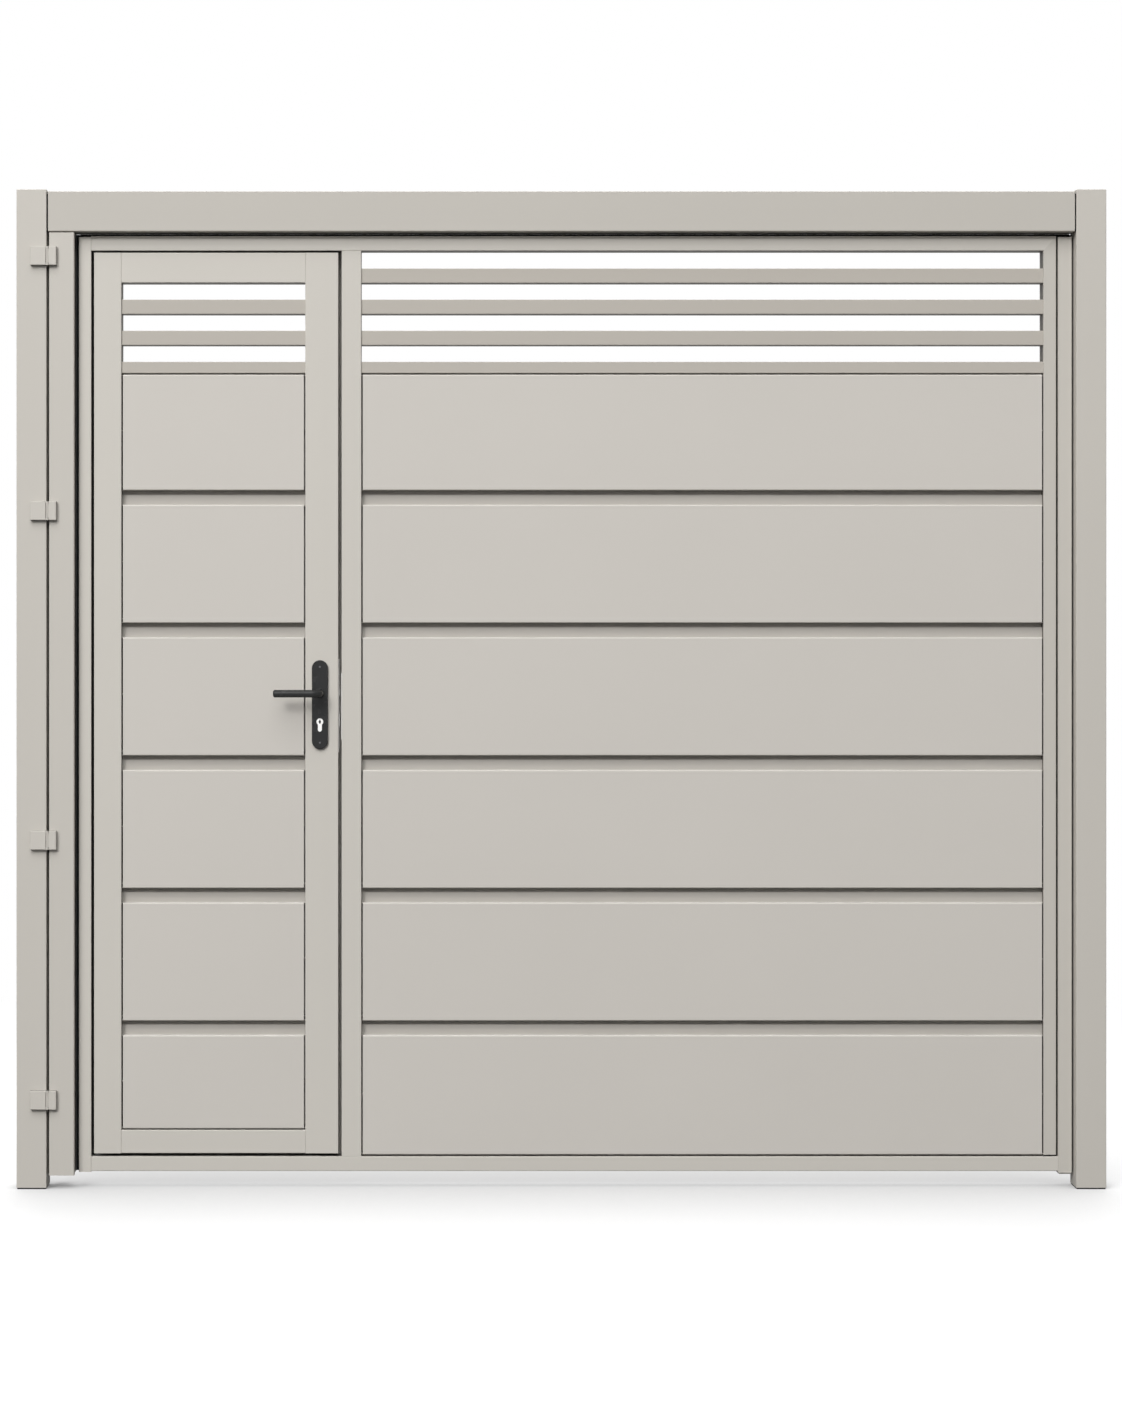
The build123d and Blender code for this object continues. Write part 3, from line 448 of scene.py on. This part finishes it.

# The posts' tone is a darker copy of the one coat: painted shade.
coat_post = finish_of("coat_post", SHADED_POST_TONE, rough=0.62)
# Painted shade on the duct's front, so the gap beside the leaf looks dark.
coat_duct = finish_of("coat_duct", SHADED_POST_TONE, rough=0.62, gap_shading={"Amount": 0.93, **duct_gap})
# Painted shade on the hinge blocks' sides, darkest where they meet the cover.
coat_hinge = finish_of("coat_hinge", (0.565, 0.537, 0.490), rough=0.62, gap_shading={"Amount": 0.9, **hinge_gap})
# A darker copy of the coat for the beam: painted shade.
coat_beam = finish_of("coat_beam", (0.515, 0.489, 0.444), rough=0.62)
# The leaf's profiles, planks and slats get painted shade deep between their front and back.
coat_frame = finish_of("coat_frame", (0.590, 0.562, 0.512), rough=0.6, gap_shading={"Amount": 0.9, **leaf_gap})
# A darker copy of the coat for the right stiles: painted shade.
coat_edge = finish_of("coat_edge", (0.535, 0.509, 0.462), rough=0.6, gap_shading={"Amount": 0.95, **leaf_gap})
# A strong setting: a painted highlight along the planks' rounded top edges.
coat_plank = finish_of("coat_plank", (0.592, 0.562, 0.518), rough=0.6, dust_highlight=0.9,
                       gap_shading={"Amount": 0.27, **plank_gap})
# A darker copy of the coat for the slats: painted shade.
coat_slat = finish_of("coat_slat", (0.470, 0.438, 0.391), rough=0.6, gap_shading={"Amount": 0.9, **slat_gap})

dress(coat_post, "left_post", "right_post", "post_caps", "duct_cover")
dress(coat_duct, "side_duct")
dress(coat_hinge, "cover_hinge_plates", "cover_hinge_barrels")
dress(coat_beam, "top_beam")
dress(coat_frame, "leaf_left_stile", "leaf_mullion", "leaf_top_rail", "leaf_bottom_rail", "leaf_end_caps",
      "wicket_hinge_stile", "wicket_lock_stile", "wicket_top_rail", "wicket_bottom_rail", "wicket_stop_beads")
dress(coat_edge, "leaf_right_stile", "main_edge_stile")
dress(coat_plank, "main_planks", "wicket_planks")
dress(coat_slat, "main_louvre_slats", "wicket_louvre_slats")
coats = [material.name for material in bpy.data.materials if material.name.startswith("coat")]
print("coats:", coats)

# %% [markdown]
# ## Handle, lock, gear and rubber
# The handle is black and satin, the lock's cylinder is pale nickel, the lifting gear is zinc-plated steel and
# the seals are black rubber. They could each have their own nodes, but the same groups with other values are
# enough: zinc has a lively mottle of a few centimetres, rubber a coarse tooth and a grey bloom, and the small
# screws are darkened steel.

# %% Other finishes
handle_black = finish_of("handle_black", (0.022, 0.0225, 0.0225), rough=0.26, tone=0.1, tone_scale=40.0,
                         bump=0.00001, bump_scale=2500.0, dust_highlight=0.01, shine=0.2)
nickel = finish_of("nickel", (0.90, 0.89, 0.87), rough=0.34, metal=0.3, tone_scale=60.0,
                   bump=0.000005, bump_scale=3000.0, dust_highlight=0.0)
zinc = finish_of("zinc", (0.60, 0.61, 0.62), rough=0.42, metal=1.0, tone=0.14, tone_scale=35.0,
                 bump=0.00001, bump_scale=800.0, dust_highlight=0.1)
dark_steel = finish_of("dark_steel", (0.11, 0.11, 0.115), rough=0.4, metal=0.6, tone=0.1, tone_scale=90.0,
                       bump=0.00001, bump_scale=2500.0, dust_highlight=0.0)
rubber = finish_of("rubber", (0.011, 0.011, 0.011), rough=0.8, tone=0.2, tone_scale=60.0,
                   bump_scale=1500.0, dust_highlight=0.03, shine=0.2)
nylon = finish_of("nylon", (0.05, 0.05, 0.053), rough=0.5, tone=0.1, tone_scale=60.0,
                  bump=0.00001, bump_scale=1500.0, dust_highlight=0.05)

dress(handle_black, "outside_backplate", "inside_backplate", "outside_lever", "inside_lever")
dress(nickel, "lock_cylinder", "lock_faceplate", "strike_plate")
dress(zinc, "left_guide_track", "right_guide_track", "arm_brackets", "left_lift_arm", "right_lift_arm",
      "arm_pivots", "roller_brackets", "wicket_frame_hinges", "wicket_door_hinges")
dress(rubber, "left_post_foot", "right_post_foot", "beam_end_plates", "leaf_seals")
dress(nylon, "guide_rollers")
print("other finishes:", [finish.name for finish in (handle_black, nickel, zinc, dark_steel, rubber, nylon)])

# %% [markdown]
# ## How the small pieces are made
# Screws, rings, seals and clips are all skins over a grid: rings of points one after another, each ring
# running once round the piece. Neighbours in the grid make the faces, and a point or a flat face closes each
# end. All copies of a piece are worked out together as one array. Modelling them by hand with primitives
# would work too, but a profile in a few numbers is easier to change.

# %% Boxes and directions
PER_METRE = 1000
LEFT, RIGHT = (-1, 0, 0), (1, 0, 0)
FRONT, BACK = (0, -1, 0), (0, 1, 0)
DOWN, UP = (0, 0, -1), (0, 0, 1)
joint_at = {joint["name"]: PER_METRE * np.array(joint["pos_m"]) for joint in frame["joints"]}


def span(name):
    """Low and high corner of a node in millimetres."""
    return [PER_METRE * np.array(corner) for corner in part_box(name)]


print("joints:", list(joint_at))

# %% Skins over rings
SHARP_FROM = math.radians(35)


def over_rings(rings, ends):
    """Points and faces over an array of copies x rings x points x 3.

    Neighbours on the grid make four-sided faces. Each end is closed by a point or a flat face, or the last
    ring joins the first.
    """
    copies, rows, cols, _ = rings.shape
    index = np.arange(copies * rows * cols).reshape(copies, rows, cols)
    after = np.roll(index, -1, axis=2)
    points = rings.reshape(-1, 3)

    def sides(*corners):
        return np.stack(corners, axis=-1).reshape(-1, len(corners)).tolist()

    faces = sides(index[:, :-1], after[:, :-1], after[:, 1:], index[:, 1:])
    if ends == "point":
        first = len(points) + np.arange(copies)[:, None] + np.zeros(cols, int)
        last = first + copies
        faces += sides(first, after[:, 0], index[:, 0]) + sides(last, index[:, -1], after[:, -1])
        points = np.concatenate([points, rings[:, 0].mean(axis=1), rings[:, -1].mean(axis=1)])
    elif ends == "flat":
        faces += index[:, 0, ::-1].tolist() + index[:, -1].tolist()
    else:
        faces += sides(index[:, -1], after[:, -1], after[:, 0], index[:, 0])
    return points.tolist(), faces


def skin(name, rings, body, material, ends="point", smooth=True):
    """Rings in millimetres become one closed mesh that rides on a body; ends as in over_rings."""
    points, faces = over_rings(np.asarray(rings, float) / PER_METRE, ends)
    mesh = bpy.data.meshes.new(name)
    mesh.from_pydata(points, [], faces)
    shell = bmesh.new()
    shell.from_mesh(mesh)
    bmesh.ops.recalc_face_normals(shell, faces=shell.faces)
    shell.to_mesh(mesh)
    shell.free()
    mesh.polygons.foreach_set("use_smooth", np.full(len(mesh.polygons), smooth))
    if smooth:
        mesh.set_sharp_from_angle(angle=SHARP_FROM)
    mesh.materials.append(material)
    piece = bpy.data.objects.new(name, mesh)
    scene.collection.objects.link(piece)
    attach(piece, body)
    print(name, "faces:", len(mesh.polygons))


print("edges are sharp from", round(math.degrees(SHARP_FROM)), "degrees")

# %% Turned and straight rings
SIDES = 24


def turned(profile, places, way, cols=SIDES):
    """Rings of a turned piece: radius, height and share of hexagon for each ring, about a direction.

    A hexagon's radius at an angle is its half width over the cosine of the angle from the nearest flat.
    """
    radius, rise, six = np.array(profile, float).T
    angle = np.linspace(0, 2 * math.pi, cols, endpoint=False)
    flat = 1 / np.cos((angle + math.pi / 6) % (math.pi / 3) - math.pi / 6)
    reach = radius[:, None] * (1 - six[:, None] + six[:, None] * flat)
    way = np.array(way, float)
    across = np.roll(way, 1)
    other = np.cross(way, across)
    circle = np.cos(angle)[:, None] * across + np.sin(angle)[:, None] * other
    shape = reach[..., None] * circle + rise[:, None, None] * way
    return np.array(places, float)[:, None, None, :] + shape


def carried(outline, start, end, across, up):
    """Rings of a straight profile: an outline in two directions, at a start and at an end point."""
    outline = np.array(outline, float)
    ring = outline[:, :1] * np.array(across, float) + outline[:, 1:] * np.array(up, float)
    return np.stack([np.array(start, float) + ring, np.array(end, float) + ring])[None]


print("round pieces have", SIDES, "sides")

# %% [markdown]
# ## Screws and collars of the handle
# The handle's plate is held by two small screws, and a thin collar lies round the lever where it leaves the
# plate. A raised screw head is a dome with a six-sided socket. Cutting the socket out of a dome would leave
# rough edges, so the profile goes over the dome and down into the socket, and its rings change from round to
# six-sided on the way. The collar's last ring joins its first.

# %% Handle fittings
TOP_SCREW_INSET = 17
FOOT_SCREW_INSET = 16
COLLAR_SIDES = 48
plate_low, plate_high = span("outside_backplate")
inner_plate_high = span("inside_backplate")[1]
lever_x, _, lever_z = joint_at["lever_turn"]
screw_levels = (plate_high[2] - TOP_SCREW_INSET, plate_low[2] + FOOT_SCREW_INSET)

raised_head = [(2.7, -0.6, 0), (2.7, 0.2, 0), (2.4, 0.6, 0), (1.9, 0.85, 0), (1.3, 0.9, 1), (1.2, 0.1, 1)]
collar = [(9.9, -0.3, 0), (12.6, -0.3, 0), (12.6, 0.7, 0), (11.9, 1.5, 0), (10.6, 1.8, 0), (9.9, 1.6, 0)]
for side, face, way in (("outside", plate_low[1], FRONT), ("inside", inner_plate_high[1], BACK)):
    heads = turned(raised_head, [(lever_x, face, z) for z in screw_levels], way)
    skin(side + "_plate_screws", heads, "wicket", dark_steel)
    rim = turned(collar, [(lever_x, face, lever_z)], way, COLLAR_SIDES)
    skin(side + "_lever_collar", rim, "wicket", handle_black, ends="ring")

# %% [markdown]
# ## Lock cylinder
# A turning plug sits in the cylinder's round part, with a fine ring round it, a dark round face and a wavy
# keyway in the middle. The dark face is painted shade on the plug. Ring and face are turned. The keyway could
# be cut into the face, but it is only a dark slot to the eye, so a black outline of a few points, painted
# shade of the slot, is carried a little way out.

# %% Plug rings, faces and keyways
RING_SIDES = 40
KEYWAY_SUNK = 0.5
KEYWAY_PROUD = 0.4
lock_low, lock_high = span("lock_cylinder")
plug_z = lock_high[2] - (lock_high[0] - lock_low[0]) / 2

plug_ring = [(6.1, -0.3, 0), (6.9, -0.3, 0), (6.9, 0.2, 0), (6.6, 0.4, 0), (6.4, 0.4, 0), (6.1, 0.2, 0)]
plug_shade_disc = [(3.1, -0.4, 0), (3.1, 0.1, 0), (2.9, 0.2, 0), (1.5, 0.25, 0)]
keyway_shade = [(-1.5, 4.4), (1.5, 4.4), (1.5, 1.9), (0.9, 1.2), (1.5, 0.2), (1.5, -1.4), (0.9, -2.1), (1.4, -3.2),
          (1.2, -4.9), (-1.2, -4.9), (-0.8, -3.4), (-1.5, -2.6), (-1.5, -0.7), (-0.9, 0.0), (-1.5, 0.9)]
for side, face, way in (("outside", lock_low[1], FRONT), ("inside", lock_high[1], BACK)):
    middle, out = np.array((lever_x, face, plug_z)), np.array(way)
    skin(side + "_plug_ring", turned(plug_ring, [middle], way, RING_SIDES), "wicket", nickel,
         ends="ring")
    # Painted shade: a dark disc on the plug and a black keyway shape.
    skin(side + "_plug_face", turned(plug_shade_disc, [middle], way), "wicket", dark_steel)
    slit = carried(keyway_shade, middle - KEYWAY_SUNK * out, middle + KEYWAY_PROUD * out, RIGHT, UP)
    skin(side + "_keyway", slit, "wicket", rubber, ends="flat", smooth=False)

# %% [markdown]
# ## Brush seals
# Long brushes close the gaps beside and above the leaf, so no light comes through there. A brush is thousands
# of bristles, which would be far too many faces. Here it is one thin strip whose thickness and length waver
# from tuft to tuft, set in a small channel. The brushes at the sides sit on the duct and on the right post,
# the ones above ride on the leaf, and all stop at least half a millimetre short of the other side.

# %% Channel and bristles
BRUSH_CLEAR = 0.5
BRUSH_HALF = 1.5
TUFT_STEP = 2.5
THIN_TUFT = 0.55
TIP_FLARE = 1.1
TIP_SWING = 0.08
ROOT_DEPTH = 1.0
CHANNEL_HEIGHT = 3.0
BARE_BRISTLES = 2.0
rng = np.random.default_rng(7)


def channel_outline(height):
    """A channel with two lips, drawn as its right half and the same half mirrored."""
    half = [(3.5, -0.2), (3.5, height - 0.6), (2.6, height), (1.6, height - 0.2), (1.6, 0.8)]
    return half + [(-x, z) for x, z in half[::-1]]


def brush(name, start, end, out, length, body):
    """A strip of tufts and its channel.

    At each station the ring has two root and two tip points; the thickness swings from station to station,
    and the tips end at slightly different lengths.
    """
    start, end, out = np.array(start, float), np.array(end, float), np.array(out, float)
    reach = np.linalg.norm(end - start)
    stations = int(reach / TUFT_STEP) | 1
    share = np.linspace(0, 1, stations)[:, None]
    line = start * (1 - share) + end * share
    across = np.cross((end - start) / reach, out)
    wide = across * BRUSH_HALF * np.where(np.arange(stations) % 2, 1.0, THIN_TUFT)[:, None]
    tip = out * (length - BRUSH_CLEAR) * (1 - TIP_SWING * rng.random((stations, 1)))
    root = -ROOT_DEPTH * out
    rings = np.stack([line + wide + root, line + TIP_FLARE * wide + tip,
                      line - TIP_FLARE * wide + tip, line - wide + root], axis=1)
    skin(name, rings[None], body, rubber, ends="flat", smooth=False)
    outline = channel_outline(min(CHANNEL_HEIGHT, length - BARE_BRISTLES))
    skin(name + "_channel", carried(outline, start, end, across, out), body, nylon, ends="flat",
         smooth=False)


print("channel:", len(channel_outline(CHANNEL_HEIGHT)), "points")

# %% Brushes round the leaf
SIDE_BRUSH_Y = 33
HEAD_BRUSH_Y = 26
END_CLEAR = 1
cover_foot = span("duct_cover")[0][2]
duct_x = span("side_duct")[1][0]
post_x = span("right_post")[0][0]
stile_low, stile_high = span("leaf_left_stile")
leaf_right = span("leaf_right_stile")[1][0]
rail_low, rail_high = span("leaf_top_rail")
caps_low, caps_high = span("leaf_end_caps")
beam_bottom = span("top_beam")[0][2]
side_top = beam_bottom - END_CLEAR

brush("left_brush", (duct_x, SIDE_BRUSH_Y, cover_foot + END_CLEAR), (duct_x, SIDE_BRUSH_Y, side_top), RIGHT,
      stile_low[0] - duct_x, "frame")
brush("right_brush", (post_x, SIDE_BRUSH_Y, caps_low[2]), (post_x, SIDE_BRUSH_Y, side_top), LEFT,
      post_x - leaf_right, "frame")
for name, x0, x1, top in (("head_brush_left", stile_low[0], stile_high[0], caps_high[2]),
                          ("head_brush", rail_low[0], rail_high[0], rail_high[2]),
                          ("head_brush_right", rail_high[0], leaf_right, caps_high[2])):
    brush(name, (x0, HEAD_BRUSH_Y, top), (x1, HEAD_BRUSH_Y, top), UP, beam_bottom - top, "leaf")

# %% [markdown]
# ## Door seal
# The strips on the door's back lap over the leaf's frame, and a hollow rubber lip is pressed against them. A
# bevelled curve could draw it, but the foot is flat and the bead is round. So it is one outline, a round bead
# on a flat foot, carried along the lock side, the head and the sill.

# %% Door seal
LAP = 4.0
SEAL_INSET = 5.0
HINGE_SIDE_CLEAR = 2.0
CORNER_GAP = 4.0
FOOT_HALF, FOOT_WALL = 3.5, 0.9
BEAD_HALF, BEAD_RISE, BEAD_MIDDLE = 2.6, 2.2, 1.9
PAST_HALF_TURN = 0.15
BEAD_POINTS = 13
bead_low, bead_high = span("wicket_stop_beads")
seal_y = bead_high[1] - LAP
lock_x = bead_high[0] - SEAL_INSET
left_x, right_x = bead_low[0] + HINGE_SIDE_CLEAR, lock_x - CORNER_GAP
sill_z, head_z = bead_low[2] + SEAL_INSET, bead_high[2] - SEAL_INSET

turn = np.linspace(-PAST_HALF_TURN, math.pi + PAST_HALF_TURN, BEAD_POINTS)
bead = list(zip(BEAD_HALF * np.cos(turn), BEAD_MIDDLE + BEAD_RISE * np.sin(turn)))
lip = [(-FOOT_HALF, 0.0), (FOOT_HALF, 0.0), (FOOT_HALF, FOOT_WALL)] + bead + [(-FOOT_HALF, FOOT_WALL)]
for name, start, end, across in (("lock_side", (lock_x, seal_y, sill_z), (lock_x, seal_y, head_z), RIGHT),
                                 ("head", (left_x, seal_y, head_z), (right_x, seal_y, head_z), UP),
                                 ("sill", (left_x, seal_y, sill_z), (right_x, seal_y, sill_z), UP)):
    run = carried(lip, start, end, across, FRONT)
    skin("door_seal_" + name, run, "wicket", rubber, ends="flat")

# %% [markdown]
# ## Butt hinges and lock plates
# Three butt hinges carry the small door at the back, each with three countersunk screws in each wing and a
# round tip on both ends of its pin. The lock's face and its strike, in the door's edge and the mullion, have
# two screws each. All are turned, and one profile serves every countersunk screw.

# %% Hinge screws
BUTT_HALF = 45
WING_WALL = 3
KNUCKLE_RADIUS = 6
SCREW_STEP = 32
OUTER_SCREW_INSET = 9
MIDDLE_SCREW_INSET = 20
leaf_back = stile_high[1]
roller_z = np.mean([corner[2] for corner in span("guide_rollers")])
knee_z = joint_at["leaf_tilt"][2]
butt_x, butt_y, _ = joint_at["wicket_swing"]
frame_wing_low, frame_wing_high = span("wicket_frame_hinges")
door_wing_x = span("wicket_door_hinges")[1][0]
butt_levels = (frame_wing_low[2] + BUTT_HALF, (roller_z + knee_z) / 2, frame_wing_high[2] - BUTT_HALF)

sunk_head = [(3.6, -0.5, 0), (3.6, 0.1, 0), (3.1, 0.4, 0), (2.2, 0.5, 0), (1.5, 0.5, 1), (1.4, 0.05, 1)]
frame_wing_x = (frame_wing_low[0] + butt_x - KNUCKLE_RADIUS) / 2
middle_screw_x, outer_screw_x = door_wing_x - MIDDLE_SCREW_INSET, door_wing_x - OUTER_SCREW_INSET
wings = {"frame_wing_screws": ("leaf", (frame_wing_x, frame_wing_x, frame_wing_x)),
         "door_wing_screws": ("wicket", (outer_screw_x, middle_screw_x, outer_screw_x))}
for name, (body, columns) in wings.items():
    places = [(x, leaf_back + WING_WALL, z + step) for z in butt_levels
              for x, step in zip(columns, (-SCREW_STEP, 0, SCREW_STEP))]
    skin(name, turned(sunk_head, places, BACK), body, zinc)

# %% Pin tips and lock screws
LATCH_PROUD = 1.0
PLATE_SCREW_INSET = 12
pin_tip = [(5.0, -0.4, 0), (5.0, 0.5, 0), (4.3, 1.6, 0), (2.6, 2.4, 0), (1.0, 2.7, 0)]
for name, way in (("upper", UP), ("lower", DOWN)):
    tips = turned(pin_tip, [(butt_x, butt_y, z + BUTT_HALF * way[2]) for z in butt_levels], way)
    skin("butt_pin_tips_" + name, tips, "leaf", zinc)

face_x = span("lock_faceplate")[1][0] - LATCH_PROUD
strike_x = span("strike_plate")[0][0]
for name, node, x, way, body in (("faceplate_screws", "lock_faceplate", face_x, RIGHT, "wicket"),
                                 ("strike_screws", "strike_plate", strike_x, LEFT, "leaf")):
    low, high = span(node)
    levels = (low[2] + PLATE_SCREW_INSET, high[2] - PLATE_SCREW_INSET)
    heads = turned(sunk_head, [(x, (low[1] + high[1]) / 2, z) for z in levels], way)
    skin(name, heads, body, zinc)

# %% [markdown]
# ## Bolts of the lifting gear
# Six-sided bolt heads on washers hold the brackets of the arms and rollers, a nut closes each fixed pivot and
# a retaining ring each moving one. A bolt head is the same turned profile with six-sided rings. The gear is
# alike on both sides, so the right half is the left one mirrored.

# %% Bracket bolts, pivot nuts and rings
BRACKET_WALL = 4
ARM_BOLT_INSET = 11
LEAF_BOLT_INSET = 15
BOLT_STEP = 31
PIVOT_HEAD = 3.8
RETAINER_SIDES = 32
mirror_x = stile_low[0] + leaf_right
bracket_low = span("arm_brackets")[0]
arm_low, arm_high = span("left_lift_arm")
_, gear_y, pivot_z = joint_at["arm_lift"]


def paired(rings):
    """Rings on the left together with their mirrored twins on the right of the leaf."""
    return np.concatenate([rings, rings * (-1, 1, 1) + (mirror_x, 0, 0)])


washered_bolt = [(7.5, -0.5, 0), (7.5, 1.2, 0), (6.9, 1.5, 0), (5.6, 1.5, 1), (5.6, 5.0, 1), (5.0, 5.6, 1),
                 (2.5, 5.7, 0)]
thin_nut = [(7.2, -0.3, 1), (7.2, 1.8, 1), (6.6, 2.2, 0.6), (4.2, 2.2, 0), (4.0, 2.9, 0), (3.2, 3.1, 0)]
retainer = [(4.6, -0.2, 0), (9.0, -0.2, 0), (9.0, 0.9, 0), (8.6, 1.2, 0), (5.0, 1.2, 0), (4.6, 0.9, 0)]
post_bolt = (bracket_low[0] + ARM_BOLT_INSET, bracket_low[1] + BRACKET_WALL)
leaf_bolt = (stile_low[0] + LEAF_BOLT_INSET, leaf_back + BRACKET_WALL)
for name, spot, levels, body in (("arm_bracket_bolts", post_bolt, (pivot_z,), "frame"),
                                 ("leaf_bracket_bolts", leaf_bolt, (knee_z, roller_z), "leaf")):
    places = [(*spot, z + step) for z in levels for step in (-BOLT_STEP, BOLT_STEP)]
    skin(name, paired(turned(washered_bolt, places, BACK)), body, zinc)
nuts = turned(thin_nut, [(arm_high[0] + PIVOT_HEAD, gear_y, pivot_z)], RIGHT)
skin("fixed_pivot_nuts", paired(nuts), "frame", zinc)
retainers = turned(retainer, [(arm_low[0] - PIVOT_HEAD, gear_y, knee_z)], LEFT, RETAINER_SIDES)
skin("leaf_pivot_rings", paired(retainers), "leaf", dark_steel, ends="ring")

# %% [markdown]
# ## Track clips
# The guide tracks are held to the posts by bent straps. A strip with Solidify and Bevel could make one, but
# a strap is one outline in plan, with rounded bends, and it is carried upwards over its width. Each has a
# screw in its foot.

# %% Outline of a strap
CLIP_FOOT = 12.5
CLIP_WALL = 1.8
CLIP_BEND = 2.3
BEND_POINTS = 5
CLIP_SHORT = 2
SEAT = 0.1
track_low, track_high = span("left_guide_track")
foot_x, tip_x = track_low[0] - CLIP_FOOT, track_high[0] - CLIP_SHORT
inner_x, outer_x = track_low[0] - SEAT, track_low[0] - SEAT - CLIP_WALL
near_y, far_y = track_low[1] + SEAT, track_high[1] + SEAT


def bend(x, y, first, last):
    """Points of a round bend about a centre, from one angle to another."""
    angle = np.radians(np.linspace(first, last, BEND_POINTS))
    return list(zip(x + CLIP_BEND * np.cos(angle), y + CLIP_BEND * np.sin(angle)))


strap = [(foot_x, near_y), (inner_x, near_y), (inner_x, far_y), (tip_x, far_y), (tip_x, far_y + CLIP_WALL)]
strap += bend(outer_x + CLIP_BEND, far_y + CLIP_WALL - CLIP_BEND, 90, 180)
strap += bend(outer_x - CLIP_BEND, near_y + CLIP_WALL + CLIP_BEND, 0, -90)
strap += [(foot_x, near_y + CLIP_WALL)]
print("strap:", len(strap), "points")

# %% Clips and their screws
CLIP_WIDTH = 22
CLIP_COUNT = 5
CLIP_END = 120
CLIP_SCREW = 4.2
clip_levels = np.linspace(track_low[2] + CLIP_END, track_high[2] - CLIP_END, CLIP_COUNT)
straps = [carried(strap, (0, 0, z - CLIP_WIDTH / 2), (0, 0, z + CLIP_WIDTH / 2), RIGHT, BACK)
          for z in clip_levels]
skin("track_clips", paired(np.concatenate(straps)), "frame", zinc, ends="flat", smooth=False)
heads = turned(raised_head, [(foot_x + CLIP_SCREW, near_y + CLIP_WALL, z) for z in clip_levels], BACK)
skin("track_clip_screws", paired(heads), "frame", zinc)
